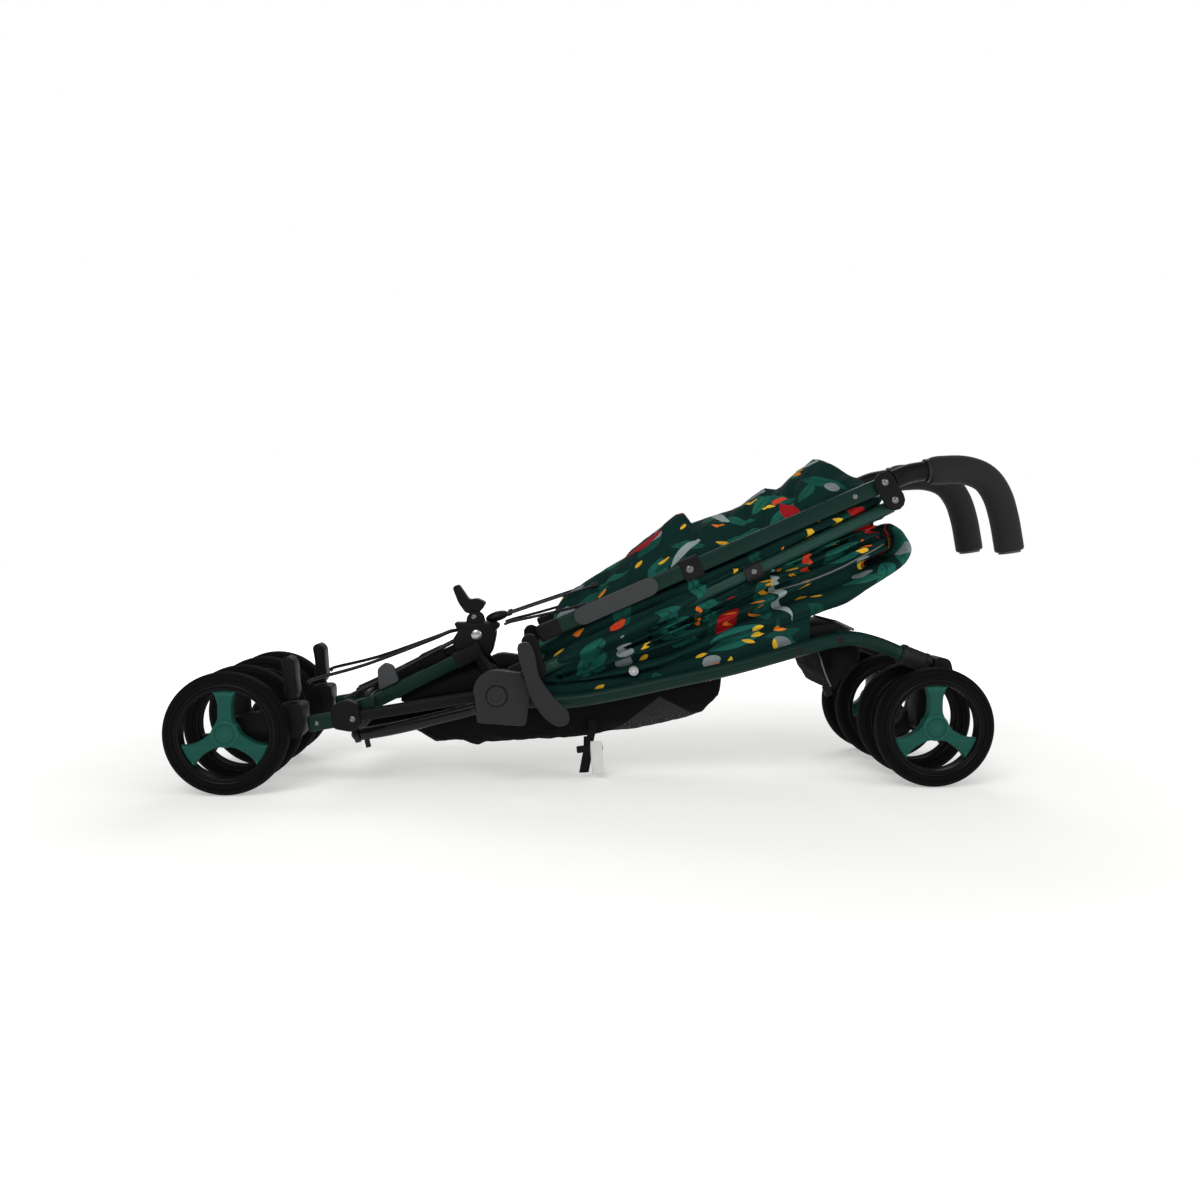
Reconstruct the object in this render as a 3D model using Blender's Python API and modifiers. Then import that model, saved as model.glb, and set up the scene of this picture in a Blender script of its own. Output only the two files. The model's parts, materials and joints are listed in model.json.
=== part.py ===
"""Folded umbrella-fold stroller: two side frames, eight wheels on four axles,
two swivelling casters, J-shaped foam grips, a folded seat and hood, and a
shopping basket.  Metres, +Z up, +X towards the grips and the front casters,
-Y is the left side.  The origin is on the ground under the middle of the
bounding box.  The model is the stroller in its folded, stored state."""
import math

import bmesh
import bpy
from mathutils import Matrix, Vector

# ---------------------------------------------------------------- dimensions
SHIFT_X = -0.0816          # puts the origin under the middle of the length
WHEEL_R = 0.0760           # 152 mm wheels
STEPS = 24                 # facets of a wheel; one facet lies flat on the ground
HUB_Z = WHEEL_R * math.cos(math.pi / STEPS)
WHEEL_W = 0.0240
TYRE_IN_R = 0.0535         # opening of the rim ring
TRACK = 0.0885             # half distance between the wheel pairs' middles
PAIR = 0.0375              # half distance between the two wheels of a pair
REAR_HUB = (-0.3865, HUB_Z)
FRONT_HUB = (0.4878, HUB_Z)
PIVOT = (-0.0600, 0.1170)  # main fold pivot, X and Z
PIN_R = 0.0040
AXLE_R = 0.0040
LEG_R = 0.0095
PUSH_R = 0.0085
PUSH_Y = 0.0640            # lower (round) pusher tube
UPPER_Y = 0.0780           # upper (flat) pusher tube
GRIP_R = 0.0185
GAP = 0.0004

for ob in list(bpy.data.objects):
    bpy.data.objects.remove(ob, do_unlink=True)
for c in list(bpy.data.collections):
    bpy.data.collections.remove(c)

parts = bpy.data.collections.new("umbrella_stroller")
cutters = bpy.data.collections.new("cutters")
bpy.context.scene.collection.children.link(parts)
bpy.context.scene.collection.children.link(cutters)


# ----------------------------------------------------------------- materials
def mat(name, rgb, rough, metal=0.0):
    m = bpy.data.materials.new(name)
    m.use_nodes = True
    b = m.node_tree.nodes["Principled BSDF"]
    b.inputs["Base Color"].default_value = (*rgb, 1.0)
    b.inputs["Roughness"].default_value = rough
    b.inputs["Metallic"].default_value = metal
    return m


GREEN = mat("green_paint", (0.012, 0.060, 0.042), 0.35, 0.3)
SPOKE = mat("green_plastic", (0.010, 0.095, 0.065), 0.42)
BLACK = mat("black_plastic", (0.014, 0.014, 0.015), 0.45)
RUBBER = mat("tyre_rubber", (0.012, 0.012, 0.012), 0.75)
FOAM = mat("grip_foam", (0.012, 0.012, 0.012), 0.85)
STEEL = mat("zinc_steel", (0.45, 0.45, 0.45), 0.30, 1.0)
GREY = mat("grey_plastic", (0.060, 0.062, 0.066), 0.50)
CLOTH = mat("printed_fabric", (0.010, 0.045, 0.038), 0.85)
MESH = mat("basket_fabric", (0.010, 0.010, 0.011), 0.90)
TAGM = mat("tag_fabric", (0.80, 0.80, 0.78), 0.80)


# ------------------------------------------------------------------- helpers
def place(ob, material):
    parts.objects.link(ob)
    ob.data.materials.clear()
    ob.data.materials.append(material)
    return ob


def wx(x):
    return x + SHIFT_X


def empty(name, x, y, z):
    e = bpy.data.objects.new(name, None)
    e.location = (wx(x), y, z)
    parts.objects.link(e)
    return e


def parent(ob, e):
    """Parents an object that was placed in world space, keeping its place."""
    bpy.context.view_layer.update()
    ob.parent = e
    ob.matrix_parent_inverse = e.matrix_world.inverted()


def tube(name, pts, r, material, res=2):
    """A round tube or rod along points (x, y, z)."""
    cu = bpy.data.curves.new(name, "CURVE")
    cu.dimensions = "3D"
    cu.bevel_depth = r
    cu.bevel_resolution = res
    cu.use_fill_caps = True
    sp = cu.splines.new("POLY")
    sp.points.add(len(pts) - 1)
    o = Vector((wx(pts[0][0]), pts[0][1], pts[0][2]))
    for p, q in zip(sp.points, pts):
        p.co = (*(Vector((wx(q[0]), q[1], q[2])) - o), 1.0)
    ob = bpy.data.objects.new(name, cu)
    ob.location = o
    return place(ob, material)


def smooth(points, per=4):
    """Reads a Catmull-Rom curve through the route's own points."""
    v = [Vector(p) for p in points]
    v = [2 * v[0] - v[1]] + v + [2 * v[-1] - v[-2]]
    out = []
    for i in range(1, len(v) - 2):
        a, b, c, d = v[i - 1:i + 3]
        for k in range(per):
            t = k / per
            out.append(0.5 * ((2 * b) + (c - a) * t + (2 * a - 5 * b + 4 * c - d) * t * t
                              + (3 * b - a - 3 * c + d) * t ** 3))
    out.append(v[-2])
    return [tuple(p) for p in out]


def plate(name, loops, y0, y1, material, origin=None):
    """A flat outline in the XZ plane, from y0 to y1.  The first loop is the
    outline and the others are holes."""
    ox, oz = origin or loops[0][0]
    cu = bpy.data.curves.new(name, "CURVE")
    cu.dimensions = "2D"
    cu.fill_mode = "BOTH"
    cu.extrude = abs(y1 - y0) / 2
    for loop in loops:
        sp = cu.splines.new("POLY")
        sp.points.add(len(loop) - 1)
        for p, q in zip(sp.points, loop):
            p.co = (q[0] - ox, q[1] - oz, 0.0, 1.0)
        sp.use_cyclic_u = True
    ob = bpy.data.objects.new(name, cu)
    ob.rotation_euler = (math.pi / 2, 0, 0)
    ob.location = (wx(ox), (y0 + y1) / 2, oz)
    return place(ob, material)


def circle(cx, cz, r, n, start=0.0):
    return [(cx + r * math.cos(start + 2 * math.pi * i / n),
             cz + r * math.sin(start + 2 * math.pi * i / n)) for i in range(n)]


def capsule(x0, z0, x1, z1, r, n=6, r2=None):
    """Outline of a bar with round ends."""
    r2 = r2 or r
    a = math.atan2(z1 - z0, x1 - x0)
    out = []
    for i in range(n + 1):
        t = a - math.pi / 2 + math.pi * i / n
        out.append((x1 + r2 * math.cos(t), z1 + r2 * math.sin(t)))
    for i in range(n + 1):
        t = a + math.pi / 2 + math.pi * i / n
        out.append((x0 + r * math.cos(t), z0 + r * math.sin(t)))
    return out


def rounded(pts, r, n=3):
    """Rounds the corners of a polygon."""
    out = []
    m = len(pts)
    for i in range(m):
        p = Vector(pts[i])
        a = Vector(pts[i - 1]) - p
        b = Vector(pts[(i + 1) % m]) - p
        q = min(r, a.length * 0.45, b.length * 0.45)
        a = p + a.normalized() * q
        b = p + b.normalized() * q
        for k in range(n + 1):
            t = k / n
            c = a * (1 - t) ** 2 + p * 2 * t * (1 - t) + b * t * t
            out.append((c.x, c.y))
    return out


def bar(name, a, b, w, h, material, bevel=0.002):
    """A rectangular tube from a to b, w wide across and h deep."""
    a = Vector((wx(a[0]), a[1], a[2]))
    b = Vector((wx(b[0]), b[1], b[2]))
    d = b - a
    bm = bmesh.new()
    bmesh.ops.create_cube(bm, size=1.0)
    bmesh.ops.scale(bm, vec=(d.length, w, h), verts=bm.verts)
    bmesh.ops.translate(bm, vec=(d.length / 2, 0, 0), verts=bm.verts)
    me = bpy.data.meshes.new(name)
    bm.to_mesh(me)
    bm.free()
    ob = bpy.data.objects.new(name, me)
    x = d.normalized()
    y = Vector((0, 0, 1)).cross(x).normalized()
    z = x.cross(y)
    ob.matrix_world = Matrix.Translation(a) @ Matrix((x, y, z)).transposed().to_4x4()
    if bevel:
        m = ob.modifiers.new("edges", "BEVEL")
        m.width = bevel
        m.segments = 2
        m.limit_method = "ANGLE"
    return place(ob, material)


def rods(name, items, material, seg=12):
    """A group of separate round pins: (x, z, y0, y1, r) along Y."""
    bm = bmesh.new()
    x0, z0 = items[0][0], items[0][1]
    for (x, z, y0, y1, r) in items:
        m = Matrix.Translation((x - x0, (y0 + y1) / 2, z - z0)) @ Matrix.Rotation(math.pi / 2, 4, "X")
        bmesh.ops.create_cone(bm, cap_ends=True, segments=seg, radius1=r, radius2=r,
                              depth=abs(y1 - y0), matrix=m)
    me = bpy.data.meshes.new(name)
    bm.to_mesh(me)
    bm.free()
    me.shade_smooth()
    me.set_sharp_from_angle(angle=math.radians(40))
    ob = bpy.data.objects.new(name, me)
    ob.location = (wx(x0), 0, z0)
    return place(ob, material)


def to_mesh(ob):
    """Turns a curve object into a closed mesh object of the same name."""
    bpy.context.view_layer.update()
    dg = bpy.context.evaluated_depsgraph_get()
    me = bpy.data.meshes.new_from_object(ob.evaluated_get(dg))
    bm = bmesh.new()
    bm.from_mesh(me)
    bmesh.ops.remove_doubles(bm, verts=bm.verts, dist=1e-6)
    bm.to_mesh(me)
    bm.free()
    name, mw, material = ob.name, ob.matrix_world.copy(), ob.data.materials[0]
    bpy.data.objects.remove(ob, do_unlink=True)
    new = bpy.data.objects.new(name, me)
    new.matrix_world = mw
    return place(new, material)


def cut(ob, cutter):
    """Boolean difference with a cutter object moved to the cutters' collection."""
    for c in list(cutter.users_collection):
        c.objects.unlink(cutter)
    cutters.objects.link(cutter)
    cutter.hide_render = True
    cutter.display_type = "WIRE"
    m = ob.modifiers.new("cut_" + cutter.name, "BOOLEAN")
    m.operation = "DIFFERENCE"
    m.object = cutter


def both(side):
    return "left" if side < 0 else "right"


def join(base, *others):
    """Boolean union of closed mesh objects into the first one."""
    for other in others:
        for c in list(other.users_collection):
            c.objects.unlink(other)
        cutters.objects.link(other)
        other.hide_render = True
        other.display_type = "WIRE"
        m = base.modifiers.new("join_" + other.name, "BOOLEAN")
        m.operation = "UNION"
        m.object = other
    return base


# -------------------------------------------------------------------- wheels
def tyre(name, hub, y):
    """Tyre and rim ring, turned about the axle."""
    w = WHEEL_W / 2
    prof = [(WHEEL_R - 0.0085, w), (WHEEL_R - 0.0020, w * 0.60), (WHEEL_R, w * 0.10),
            (WHEEL_R, -w * 0.10), (WHEEL_R - 0.0020, -w * 0.60), (WHEEL_R - 0.0085, -w),
            (TYRE_IN_R + 0.0030, -w), (TYRE_IN_R, -w * 0.55),
            (TYRE_IN_R, w * 0.55), (TYRE_IN_R + 0.0030, w)]
    me = bpy.data.meshes.new(name)
    bm = bmesh.new()
    half = math.pi / STEPS
    vs = [bm.verts.new((r * math.cos(half), r * math.sin(half), h)) for r, h in prof]
    for i in range(len(vs)):
        bm.edges.new((vs[i], vs[(i + 1) % len(vs)]))
    bm.to_mesh(me)
    bm.free()
    ob = bpy.data.objects.new(name, me)
    s = ob.modifiers.new("turn", "SCREW")
    s.axis = "Z"
    s.angle = 2 * math.pi
    s.steps = s.render_steps = STEPS
    s.use_merge_vertices = True
    s.merge_threshold = 0.00005
    s.use_smooth_shade = True
    ob.rotation_euler = (math.pi / 2, 0, 0)
    ob.location = (wx(hub[0]), y, hub[1])
    return place(ob, RUBBER)


def star_outline(r_out, r_hub, arms, half_tip, half_neck):
    """Three-armed insert: narrow necks that flare to the rim."""
    out = []
    for k in range(arms):
        a = math.pi / 2 + 2 * math.pi * k / arms
        c, s = math.cos(a), math.sin(a)
        side = [(r_hub * 0.93, half_neck), (0.55 * r_out, half_neck * 0.92), (0.80 * r_out, half_neck * 1.12),
                (0.945 * r_out, half_tip)]
        right = [(u, -v) for u, v in side]
        left = [(u, v) for u, v in reversed(side)]
        for u, v in right + [(r_out, 0.0)] + left:
            out.append((u * c - v * s, u * s + v * c))
        b = a + math.pi / arms
        for t in (-0.28, 0.0, 0.28):
            out.append((r_hub * math.cos(b + t), r_hub * math.sin(b + t)))
    return out


def insert(name, hub, y, w, material, reach=-0.0010):
    o = star_outline(TYRE_IN_R + reach, 0.0165, 3, 0.0150, 0.0085)
    o = [(hub[0] + x, hub[1] + z) for x, z in o]
    return plate(name, [o, circle(hub[0], hub[1], AXLE_R + 0.0007, 10)], y - w / 2, y + w / 2, material,
                 origin=hub)


for end, hub in (("rear", REAR_HUB), ("front", FRONT_HUB)):
    for s in (-1, 1):
        n = f"{end}_{both(s)}"
        y = s * (TRACK + PAIR)
        tyre(f"tyre_{n}_outer", hub, y)
        insert(f"spokes_{n}_outer", hub, y, 0.0150, SPOKE)
        # the inner wheel is one black moulding: ring and arms together
        y = s * (TRACK - PAIR)
        join(tyre(f"wheel_{n}_inner", hub, y),
             to_mesh(insert(f"arms_{n}_inner", hub, y, 0.0150, BLACK, 0.0020)))


def axle(name, hub, s):
    """Axle through both wheels of a pair, pressed into what carries it."""
    y0, y1 = s * (TRACK - PAIR - 0.0150), s * (TRACK + PAIR + 0.0090)
    return rods(name, [(hub[0], hub[1], min(y0, y1), max(y0, y1), AXLE_R)], STEEL, 10)


# --------------------------------------------------------------- rear frame
for s in (-1, 1):
    n = both(s)
    px, pz = PIVOT
    # knuckle that turns on the main pin, and the flat tube welded to it
    ya, yb = s * 0.0800, s * 0.0970
    kn = to_mesh(plate("rear_knuckle_" + n, [circle(px, pz, 0.0125, 16), circle(px, pz, PIN_R + 0.0003, 12)],
                       min(ya, yb), max(ya, yb), BLACK, origin=PIVOT))
    u = Vector((-0.300 - px, 0, 0.0795 - pz)).normalized()
    a = (px + u.x * 0.0090, s * TRACK, pz + u.z * 0.0090)
    join(bar("rear_leg_" + n, a, (-0.2962, s * TRACK, 0.0800), 0.0150, 0.0200, GREEN), kn)
    # carrier between the two wheels, from the leg's end to the axle
    hx, hz = REAR_HUB
    out = rounded([(-0.2990, 0.1080), (-0.3310, 0.1060), (-0.3560, 0.0950), (hx - 0.004, hz + 0.0150),
                   (hx - 0.0160, hz + 0.002), (hx - 0.006, hz - 0.0150), (-0.3500, 0.0610), (-0.2990, 0.0660)], 0.008)
    join(to_mesh(plate("rear_carrier_" + n, [out], s * TRACK - 0.0190, s * TRACK + 0.0190, BLACK,
                       origin=(-0.2990, 0.1080))), axle("rear_axle_" + n, REAR_HUB, s))
    # brake pedal, upright on top of the carrier
    ped = rounded([(-0.3190, 0.1105), (-0.3235, 0.1200), (-0.3230, 0.1400), (-0.3265, 0.1620), (-0.3180, 0.1670),
                   (-0.3095, 0.1600), (-0.3080, 0.1300), (-0.3065, 0.1200), (-0.3110, 0.1105)], 0.005)
    plate("brake_pedal_" + n, [ped], s * TRACK - 0.0150, s * TRACK + 0.0150, BLACK, origin=(-0.3150, 0.1150))
    # cross tube running in to the hub, with the bracket that holds it to the leg
    br = rounded([(-0.2420, 0.0800), (-0.2420, 0.1060), (-0.2160, 0.1130), (-0.2140, 0.0860)], 0.004)
    join(bar("cross_tube_" + n, (-0.2275, s * 0.0640, 0.0990), (-0.0880, s * 0.0287, 0.1660), 0.0120, 0.0170, GREEN),
         to_mesh(plate("cross_bracket_" + n, [br], s * 0.0703 - 0.0103, s * 0.0703 + 0.0103, BLACK, origin=(-0.2280, 0.0960))))

# black hoop that holds the back of the basket, open towards the hinge
hoop = [(-0.0900, -0.0600, 0.0925), (-0.1300, -0.0600, 0.0830), (-0.1900, -0.0600, 0.0690), (-0.2350, -0.0570, 0.0610),
        (-0.2440, -0.0400, 0.0590), (-0.2450, 0.0, 0.0588)]
hoop += [(x, -y, z) for x, y, z in reversed(hoop[:-1])]
tube("basket_hoop", smooth(hoop, 2), 0.0080, BLACK)
# brake wire from one carrier over the hub to the other
wire = [(-0.2975, -0.0700, 0.1300), (-0.2950, -0.0680, 0.1360), (-0.2300, -0.0480, 0.1560), (-0.1500, -0.0230, 0.1790),
        (-0.1330, -0.0100, 0.1835), (-0.1310, 0.0, 0.1840)]
wire += [(x, -y, z) for x, y, z in reversed(wire[:-1])]
tube("brake_wire", wire, 0.0022, BLACK, 1)

# hub of the cross tubes, with the fold pedal and its return knob
hub_out = rounded([(-0.1240, 0.1760), (-0.1080, 0.2012), (-0.0720, 0.2012), (-0.0640, 0.1880),
                   (-0.0700, 0.1600), (-0.0880, 0.1500), (-0.1120, 0.1540)], 0.006)
plate("fold_hub", [hub_out], -0.0222, 0.0222, BLACK, origin=(-0.0900, 0.1800))
foot = [(-0.0940 + 0.0068 * math.cos(t), 0.2085 + 0.0068 * math.sin(t))
        for t in [math.radians(180 + 180 * i / 8) for i in range(9)]]
fin = foot + rounded([(-0.0860, 0.2150), (-0.0780, 0.2270), (-0.0900, 0.2330), (-0.1010, 0.2310), (-0.1150, 0.2520), (-0.1230, 0.2480),
                      (-0.1150, 0.2270), (-0.1050, 0.2130)], 0.004)
plate("fold_pedal", [fin], -0.0130, 0.0130, BLACK, origin=(-0.0940, 0.2085))
plate("tongue_tab", [rounded([(-0.2130, 0.1172), (-0.2150, 0.1450), (-0.2060, 0.1530), (-0.1950, 0.1490),
                              (-0.1880, 0.1292)], 0.004)], -0.0600, -0.0480, GREY, origin=(-0.2000, 0.1400))

# -------------------------------------------------------------- front frame
HX, HZ = FRONT_HUB
leg_pts = smooth([(-0.0405, 0, 0.1085), (0.0287, 0, 0.1065), (0.0900, 0, 0.1160), (0.1510, 0, 0.1285),
                  (0.2420, 0, 0.1480), (0.3360, 0, 0.1735), (0.3700, 0, 0.1815), (0.3950, 0, 0.1840),
                  (0.4250, 0, 0.1770), (0.4550, 0, 0.1650)], 2)
SW = Vector((0.930, 0, -0.3675)).normalized()       # swivel axis, along the leg's end
SW0 = Vector((0.4550, 0, 0.1650))
for s in (-1, 1):
    n = both(s)
    px, pz = PIVOT
    tube("front_leg_" + n, [(x, s * TRACK, z) for x, _, z in leg_pts], LEG_R, GREEN)
    # side cover of the main hinge, D shaped
    d = [(px + 0.0290 * math.cos(t), pz + 0.0060 + 0.0260 * math.sin(t))
         for t in [math.pi * (0.42 + 0.70 * i / 8) for i in range(9)]]
    d += rounded([(px - 0.0280, pz - 0.0330), (px + 0.0360, pz - 0.0380), (px + 0.0420, pz + 0.0080),
                  (px + 0.0280, pz + 0.0310)], 0.007)[2:-2]
    ya, yb = s * 0.0985, s * 0.1180
    plate("hinge_cover_" + n, [d, circle(px, pz, 0.0130, 16)], min(ya, yb), max(ya, yb), BLACK,
          origin=PIVOT)
    # main pin with its round head in the cover
    ya, yb = s * 0.0550, s * 0.1010
    pin = rods("pin_shank_" + n, [(px, pz, min(ya, yb), max(ya, yb), PIN_R)], STEEL, 12)
    ya, yb = s * 0.0990, s * 0.1195
    join(rods("hinge_pin_" + n, [(px, pz, min(ya, yb), max(ya, yb), 0.0125)], GREY, 16), pin)
    # sleeve that ends the leg and holds the caster's stem
    tube("leg_sleeve_" + n, [tuple(SW0 + SW * t + Vector((0, s * TRACK, 0))) for t in (0.0005, 0.0180, 0.0400)],
         0.0125, BLACK)
    # caster housing: hangs from the stem and carries the axle between the wheels
    e = SW0 + SW * 0.0428
    ho = [(e.x + 0.0040, e.z + 0.0125), (e.x + 0.0210, e.z + 0.0090), (e.x + 0.0260, e.z - 0.0110),
          (HX + 0.0170, HZ + 0.0330), (HX + 0.0130, HZ - 0.0090), (HX, HZ - 0.0140), (HX - 0.0140, HZ - 0.0060),
          (HX - 0.0160, HZ + 0.0180), (e.x - 0.0170 + 0.0030, e.z - 0.0190), (e.x - 0.0045, e.z - 0.0110)]
    join(to_mesh(plate("caster_housing_" + n, [rounded(ho, 0.006)], s * TRACK - 0.0160, s * TRACK + 0.0160, BLACK,
                       origin=(e.x, e.z))), axle("front_axle_" + n, FRONT_HUB, s))

# calf rest between the front legs, and the bar behind it
rods("front_crossbar", [(0.2950, 0.1618, -TRACK + LEG_R + GAP, TRACK - LEG_R - GAP, 0.0060)], BLACK, 12)
plate("calf_board", [rounded([(0.3260, 0.1880), (0.3300, 0.1960), (0.3800, 0.2030), (0.3900, 0.1970),
                              (0.3600, 0.1840)], 0.004)], -0.0700, 0.0700, GREY, origin=(0.3500, 0.1960))
plate("calf_fabric", [rounded([(0.3350, 0.1780), (0.3560, 0.1790), (0.3950, 0.1650), (0.4000, 0.1520),
                               (0.3800, 0.1240), (0.3600, 0.1150), (0.3520, 0.1290)], 0.006)],
      -0.0720, 0.0720, MESH, origin=(0.3600, 0.1500))

# ------------------------------------------------------------- pusher frame
G0, G1 = Vector((-0.0257, 0, 0.1824)), Vector((0.4484, 0, 0.3877))
H0, H1 = Vector(PIVOT + (0,)), Vector((0.4509, 0.3546, 0))
gd = (G1 - G0).normalized()
hd = Vector((H1.x - PIVOT[0], 0, H1.y - PIVOT[1])).normalized()
handle = [(0.4500, 0, 0.3885), (0.4800, 0, 0.3965), (0.5130, 0, 0.4005), (0.5450, 0, 0.4005), (0.5720, 0, 0.3905),
          (0.5890, 0, 0.3690), (0.5990, 0, 0.3400), (0.6055, 0, 0.3080), (0.6075, 0, 0.2960)]
for s in (-1, 1):
    n = both(s)
    px, pz = PIVOT
    ya, yb = s * 0.0570, s * 0.0730
    kn = to_mesh(plate("pusher_knuckle_" + n, [circle(px, pz, 0.0120, 16), circle(px, pz, PIN_R + 0.0003, 12)],
                       min(ya, yb), max(ya, yb), BLACK, origin=PIVOT))
    p0 = Vector((px, s * PUSH_Y, pz)) + hd * 0.0085
    p1 = Vector((0.4400, s * PUSH_Y, PIVOT[1] + (0.4400 - px) * hd.z / hd.x))
    join(to_mesh(tube("pusher_tube_" + n, [tuple(p0), tuple(p0.lerp(p1, 0.5)), tuple(p1)], PUSH_R, GREEN)), kn)
    # flat upper tube, from the lower link to the handle joint
    q = [G0 + gd * t for t in (0.0200, 0.1030, 0.2180, 0.2180, 0.2440, 0.5150)]
    yv = Vector((0, s * UPPER_Y, 0))
    bar("upper_tube_" + n, tuple(q[0] + yv), tuple(q[5] + yv), 0.0140, 0.0200, GREEN)
    # square joint sleeved over the middle of the tube
    cut(bar("tube_joint_" + n, tuple(q[2] + yv), tuple(q[4] + yv), 0.0190, 0.0280, BLACK, 0.002),
        bar("joint_bore_" + n, tuple(q[1] + yv), tuple(q[4] + gd * 0.05 + yv), 0.0148, 0.0208, BLACK, 0.0))
    # lower link that ties the flat tube to the round one
    lk = capsule(G0.x + 0.0060, G0.z - 0.0020, px + 0.0520, pz + 0.0245, 0.0110, 5, 0.0090)
    ya, yb = s * 0.0735, s * 0.0860
    plate("lower_link_" + n, [lk], min(ya, yb), max(ya, yb), BLACK, origin=(G0.x, G0.z))
    # blank pad on the outside of the flat tube
    pa, pb = G0 + gd * 0.0800, G0 + gd * 0.1720
    ya, yb = s * (UPPER_Y + 0.0075), s * (UPPER_Y + 0.0125)
    plate("tube_pad_" + n, [capsule(pa.x, pa.z, pb.x, pb.z, 0.0115, 6)], min(ya, yb), max(ya, yb), BLACK,
          origin=(pa.x, pa.z))
    # link that joins the tops of both tubes: two lobes
    ya, yb = s * (UPPER_Y + 0.0075), s * (UPPER_Y + 0.0130)
    plate("top_link_" + n, [capsule(0.4325, 0.3835, 0.4460, 0.3610, 0.0135, 6, 0.0135)],
          min(ya, yb), max(ya, yb), BLACK, origin=(0.4325, 0.3835))
    # handle: steel core tube seen at its ends, foam grip over its bend
    pts = smooth(handle, 2)
    tube("handle_sleeve_" + n,
         [tuple(G0 + gd * 0.5165 + yv), tuple(G0 + gd * 0.5250 + yv), (0.4700, s * 0.0760, 0.3960),
          (0.4930, s * 0.0730, 0.4000)], 0.0125, BLACK)
    tube("handle_grip_" + n, [(x, s * (0.0730 if x < 0.50 else 0.0730 - min(0.008, (x - 0.50) * 0.08)), z)
                              for x, _, z in pts if x > 0.4950], GRIP_R, FOAM, 2)

# paddle catch on the left lower link, reaching down over the hinge
pad = [(-0.0350, 0.1830), (-0.0200, 0.1860), (-0.0130, 0.1720), (-0.0080, 0.1430), (0.0080, 0.1190),
       (0.0300, 0.0980), (0.0290, 0.0830), (0.0140, 0.0800), (-0.0030, 0.0930), (-0.0180, 0.1160),
       (-0.0260, 0.1420), (-0.0330, 0.1680)]
join(to_mesh(plate("catch_lever", [rounded(pad, 0.006, 2)], -0.1330, -0.1220, BLACK, origin=(-0.0240, 0.1760))),
     rods("catch_post", [(-0.0240, 0.1750, -0.1260, -0.0864, 0.0055)], BLACK, 10))

# ----------------------------------------------------------------- soft parts
seat = [(0.0480, 0.1900), (0.1250, 0.2350), (0.2000, 0.2680), (0.3000, 0.3050), (0.4100, 0.3450),
        (0.4560, 0.3300), (0.4870, 0.2870), (0.4600, 0.2560), (0.4000, 0.2300), (0.3500, 0.2100), (0.2500, 0.1780),
        (0.1900, 0.1550), (0.1300, 0.1400), (0.0500, 0.1240), (0.0200, 0.1500)]
plate("seat_fabric", [rounded(seat, 0.012, 2)], -0.0530, 0.0530, CLOTH, origin=(0.2500, 0.2300))
hood = [(0.0500, 0.2450), (0.1100, 0.2900), (0.1750, 0.3450), (0.1870, 0.3480), (0.2000, 0.3360), (0.2680, 0.3560),
        (0.2960, 0.3800), (0.3120, 0.3780), (0.3420, 0.4060), (0.3650, 0.4210), (0.3950, 0.4050), (0.4230, 0.3920),
        (0.4300, 0.3640), (0.4050, 0.3560), (0.3000, 0.3150), (0.2000, 0.2780), (0.1250, 0.2450), (0.0700, 0.2150)]
plate("hood_fabric", [rounded(hood, 0.006, 2)], -0.0530, 0.0530, CLOTH, origin=(0.2500, 0.3300))
bk = [(-0.1700, 0.0640), (-0.1480, 0.0500), (-0.1000, 0.0430), (-0.0780, 0.0480), (0.0400, 0.0560), (0.1400, 0.0640),
      (0.2050, 0.0820), (0.2330, 0.1120), (0.2200, 0.1330), (0.1500, 0.1220), (0.0900, 0.1100), (0.0200, 0.1000),
      (-0.0300, 0.0960), (-0.1000, 0.0800)]
plate("basket", [rounded(bk, 0.008, 2)], -0.0500, 0.0500, MESH, origin=(0.0300, 0.0800))

# webbing strap and blank care tag hanging under the basket
bar("strap", (0.0560, -0.0560, 0.0550), (0.0500, -0.0560, 0.0070), 0.0020, 0.0130, BLACK, 0)
bar("care_tag", (0.0660, -0.0590, 0.0495), (0.0690, -0.0590, 0.0060), 0.0014, 0.0160, TAGM, 0)
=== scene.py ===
"""Looks of the folded umbrella-fold stroller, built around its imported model."""
import json
import math

import bmesh
import bpy
from mathutils import Matrix, Vector, noise

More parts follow.
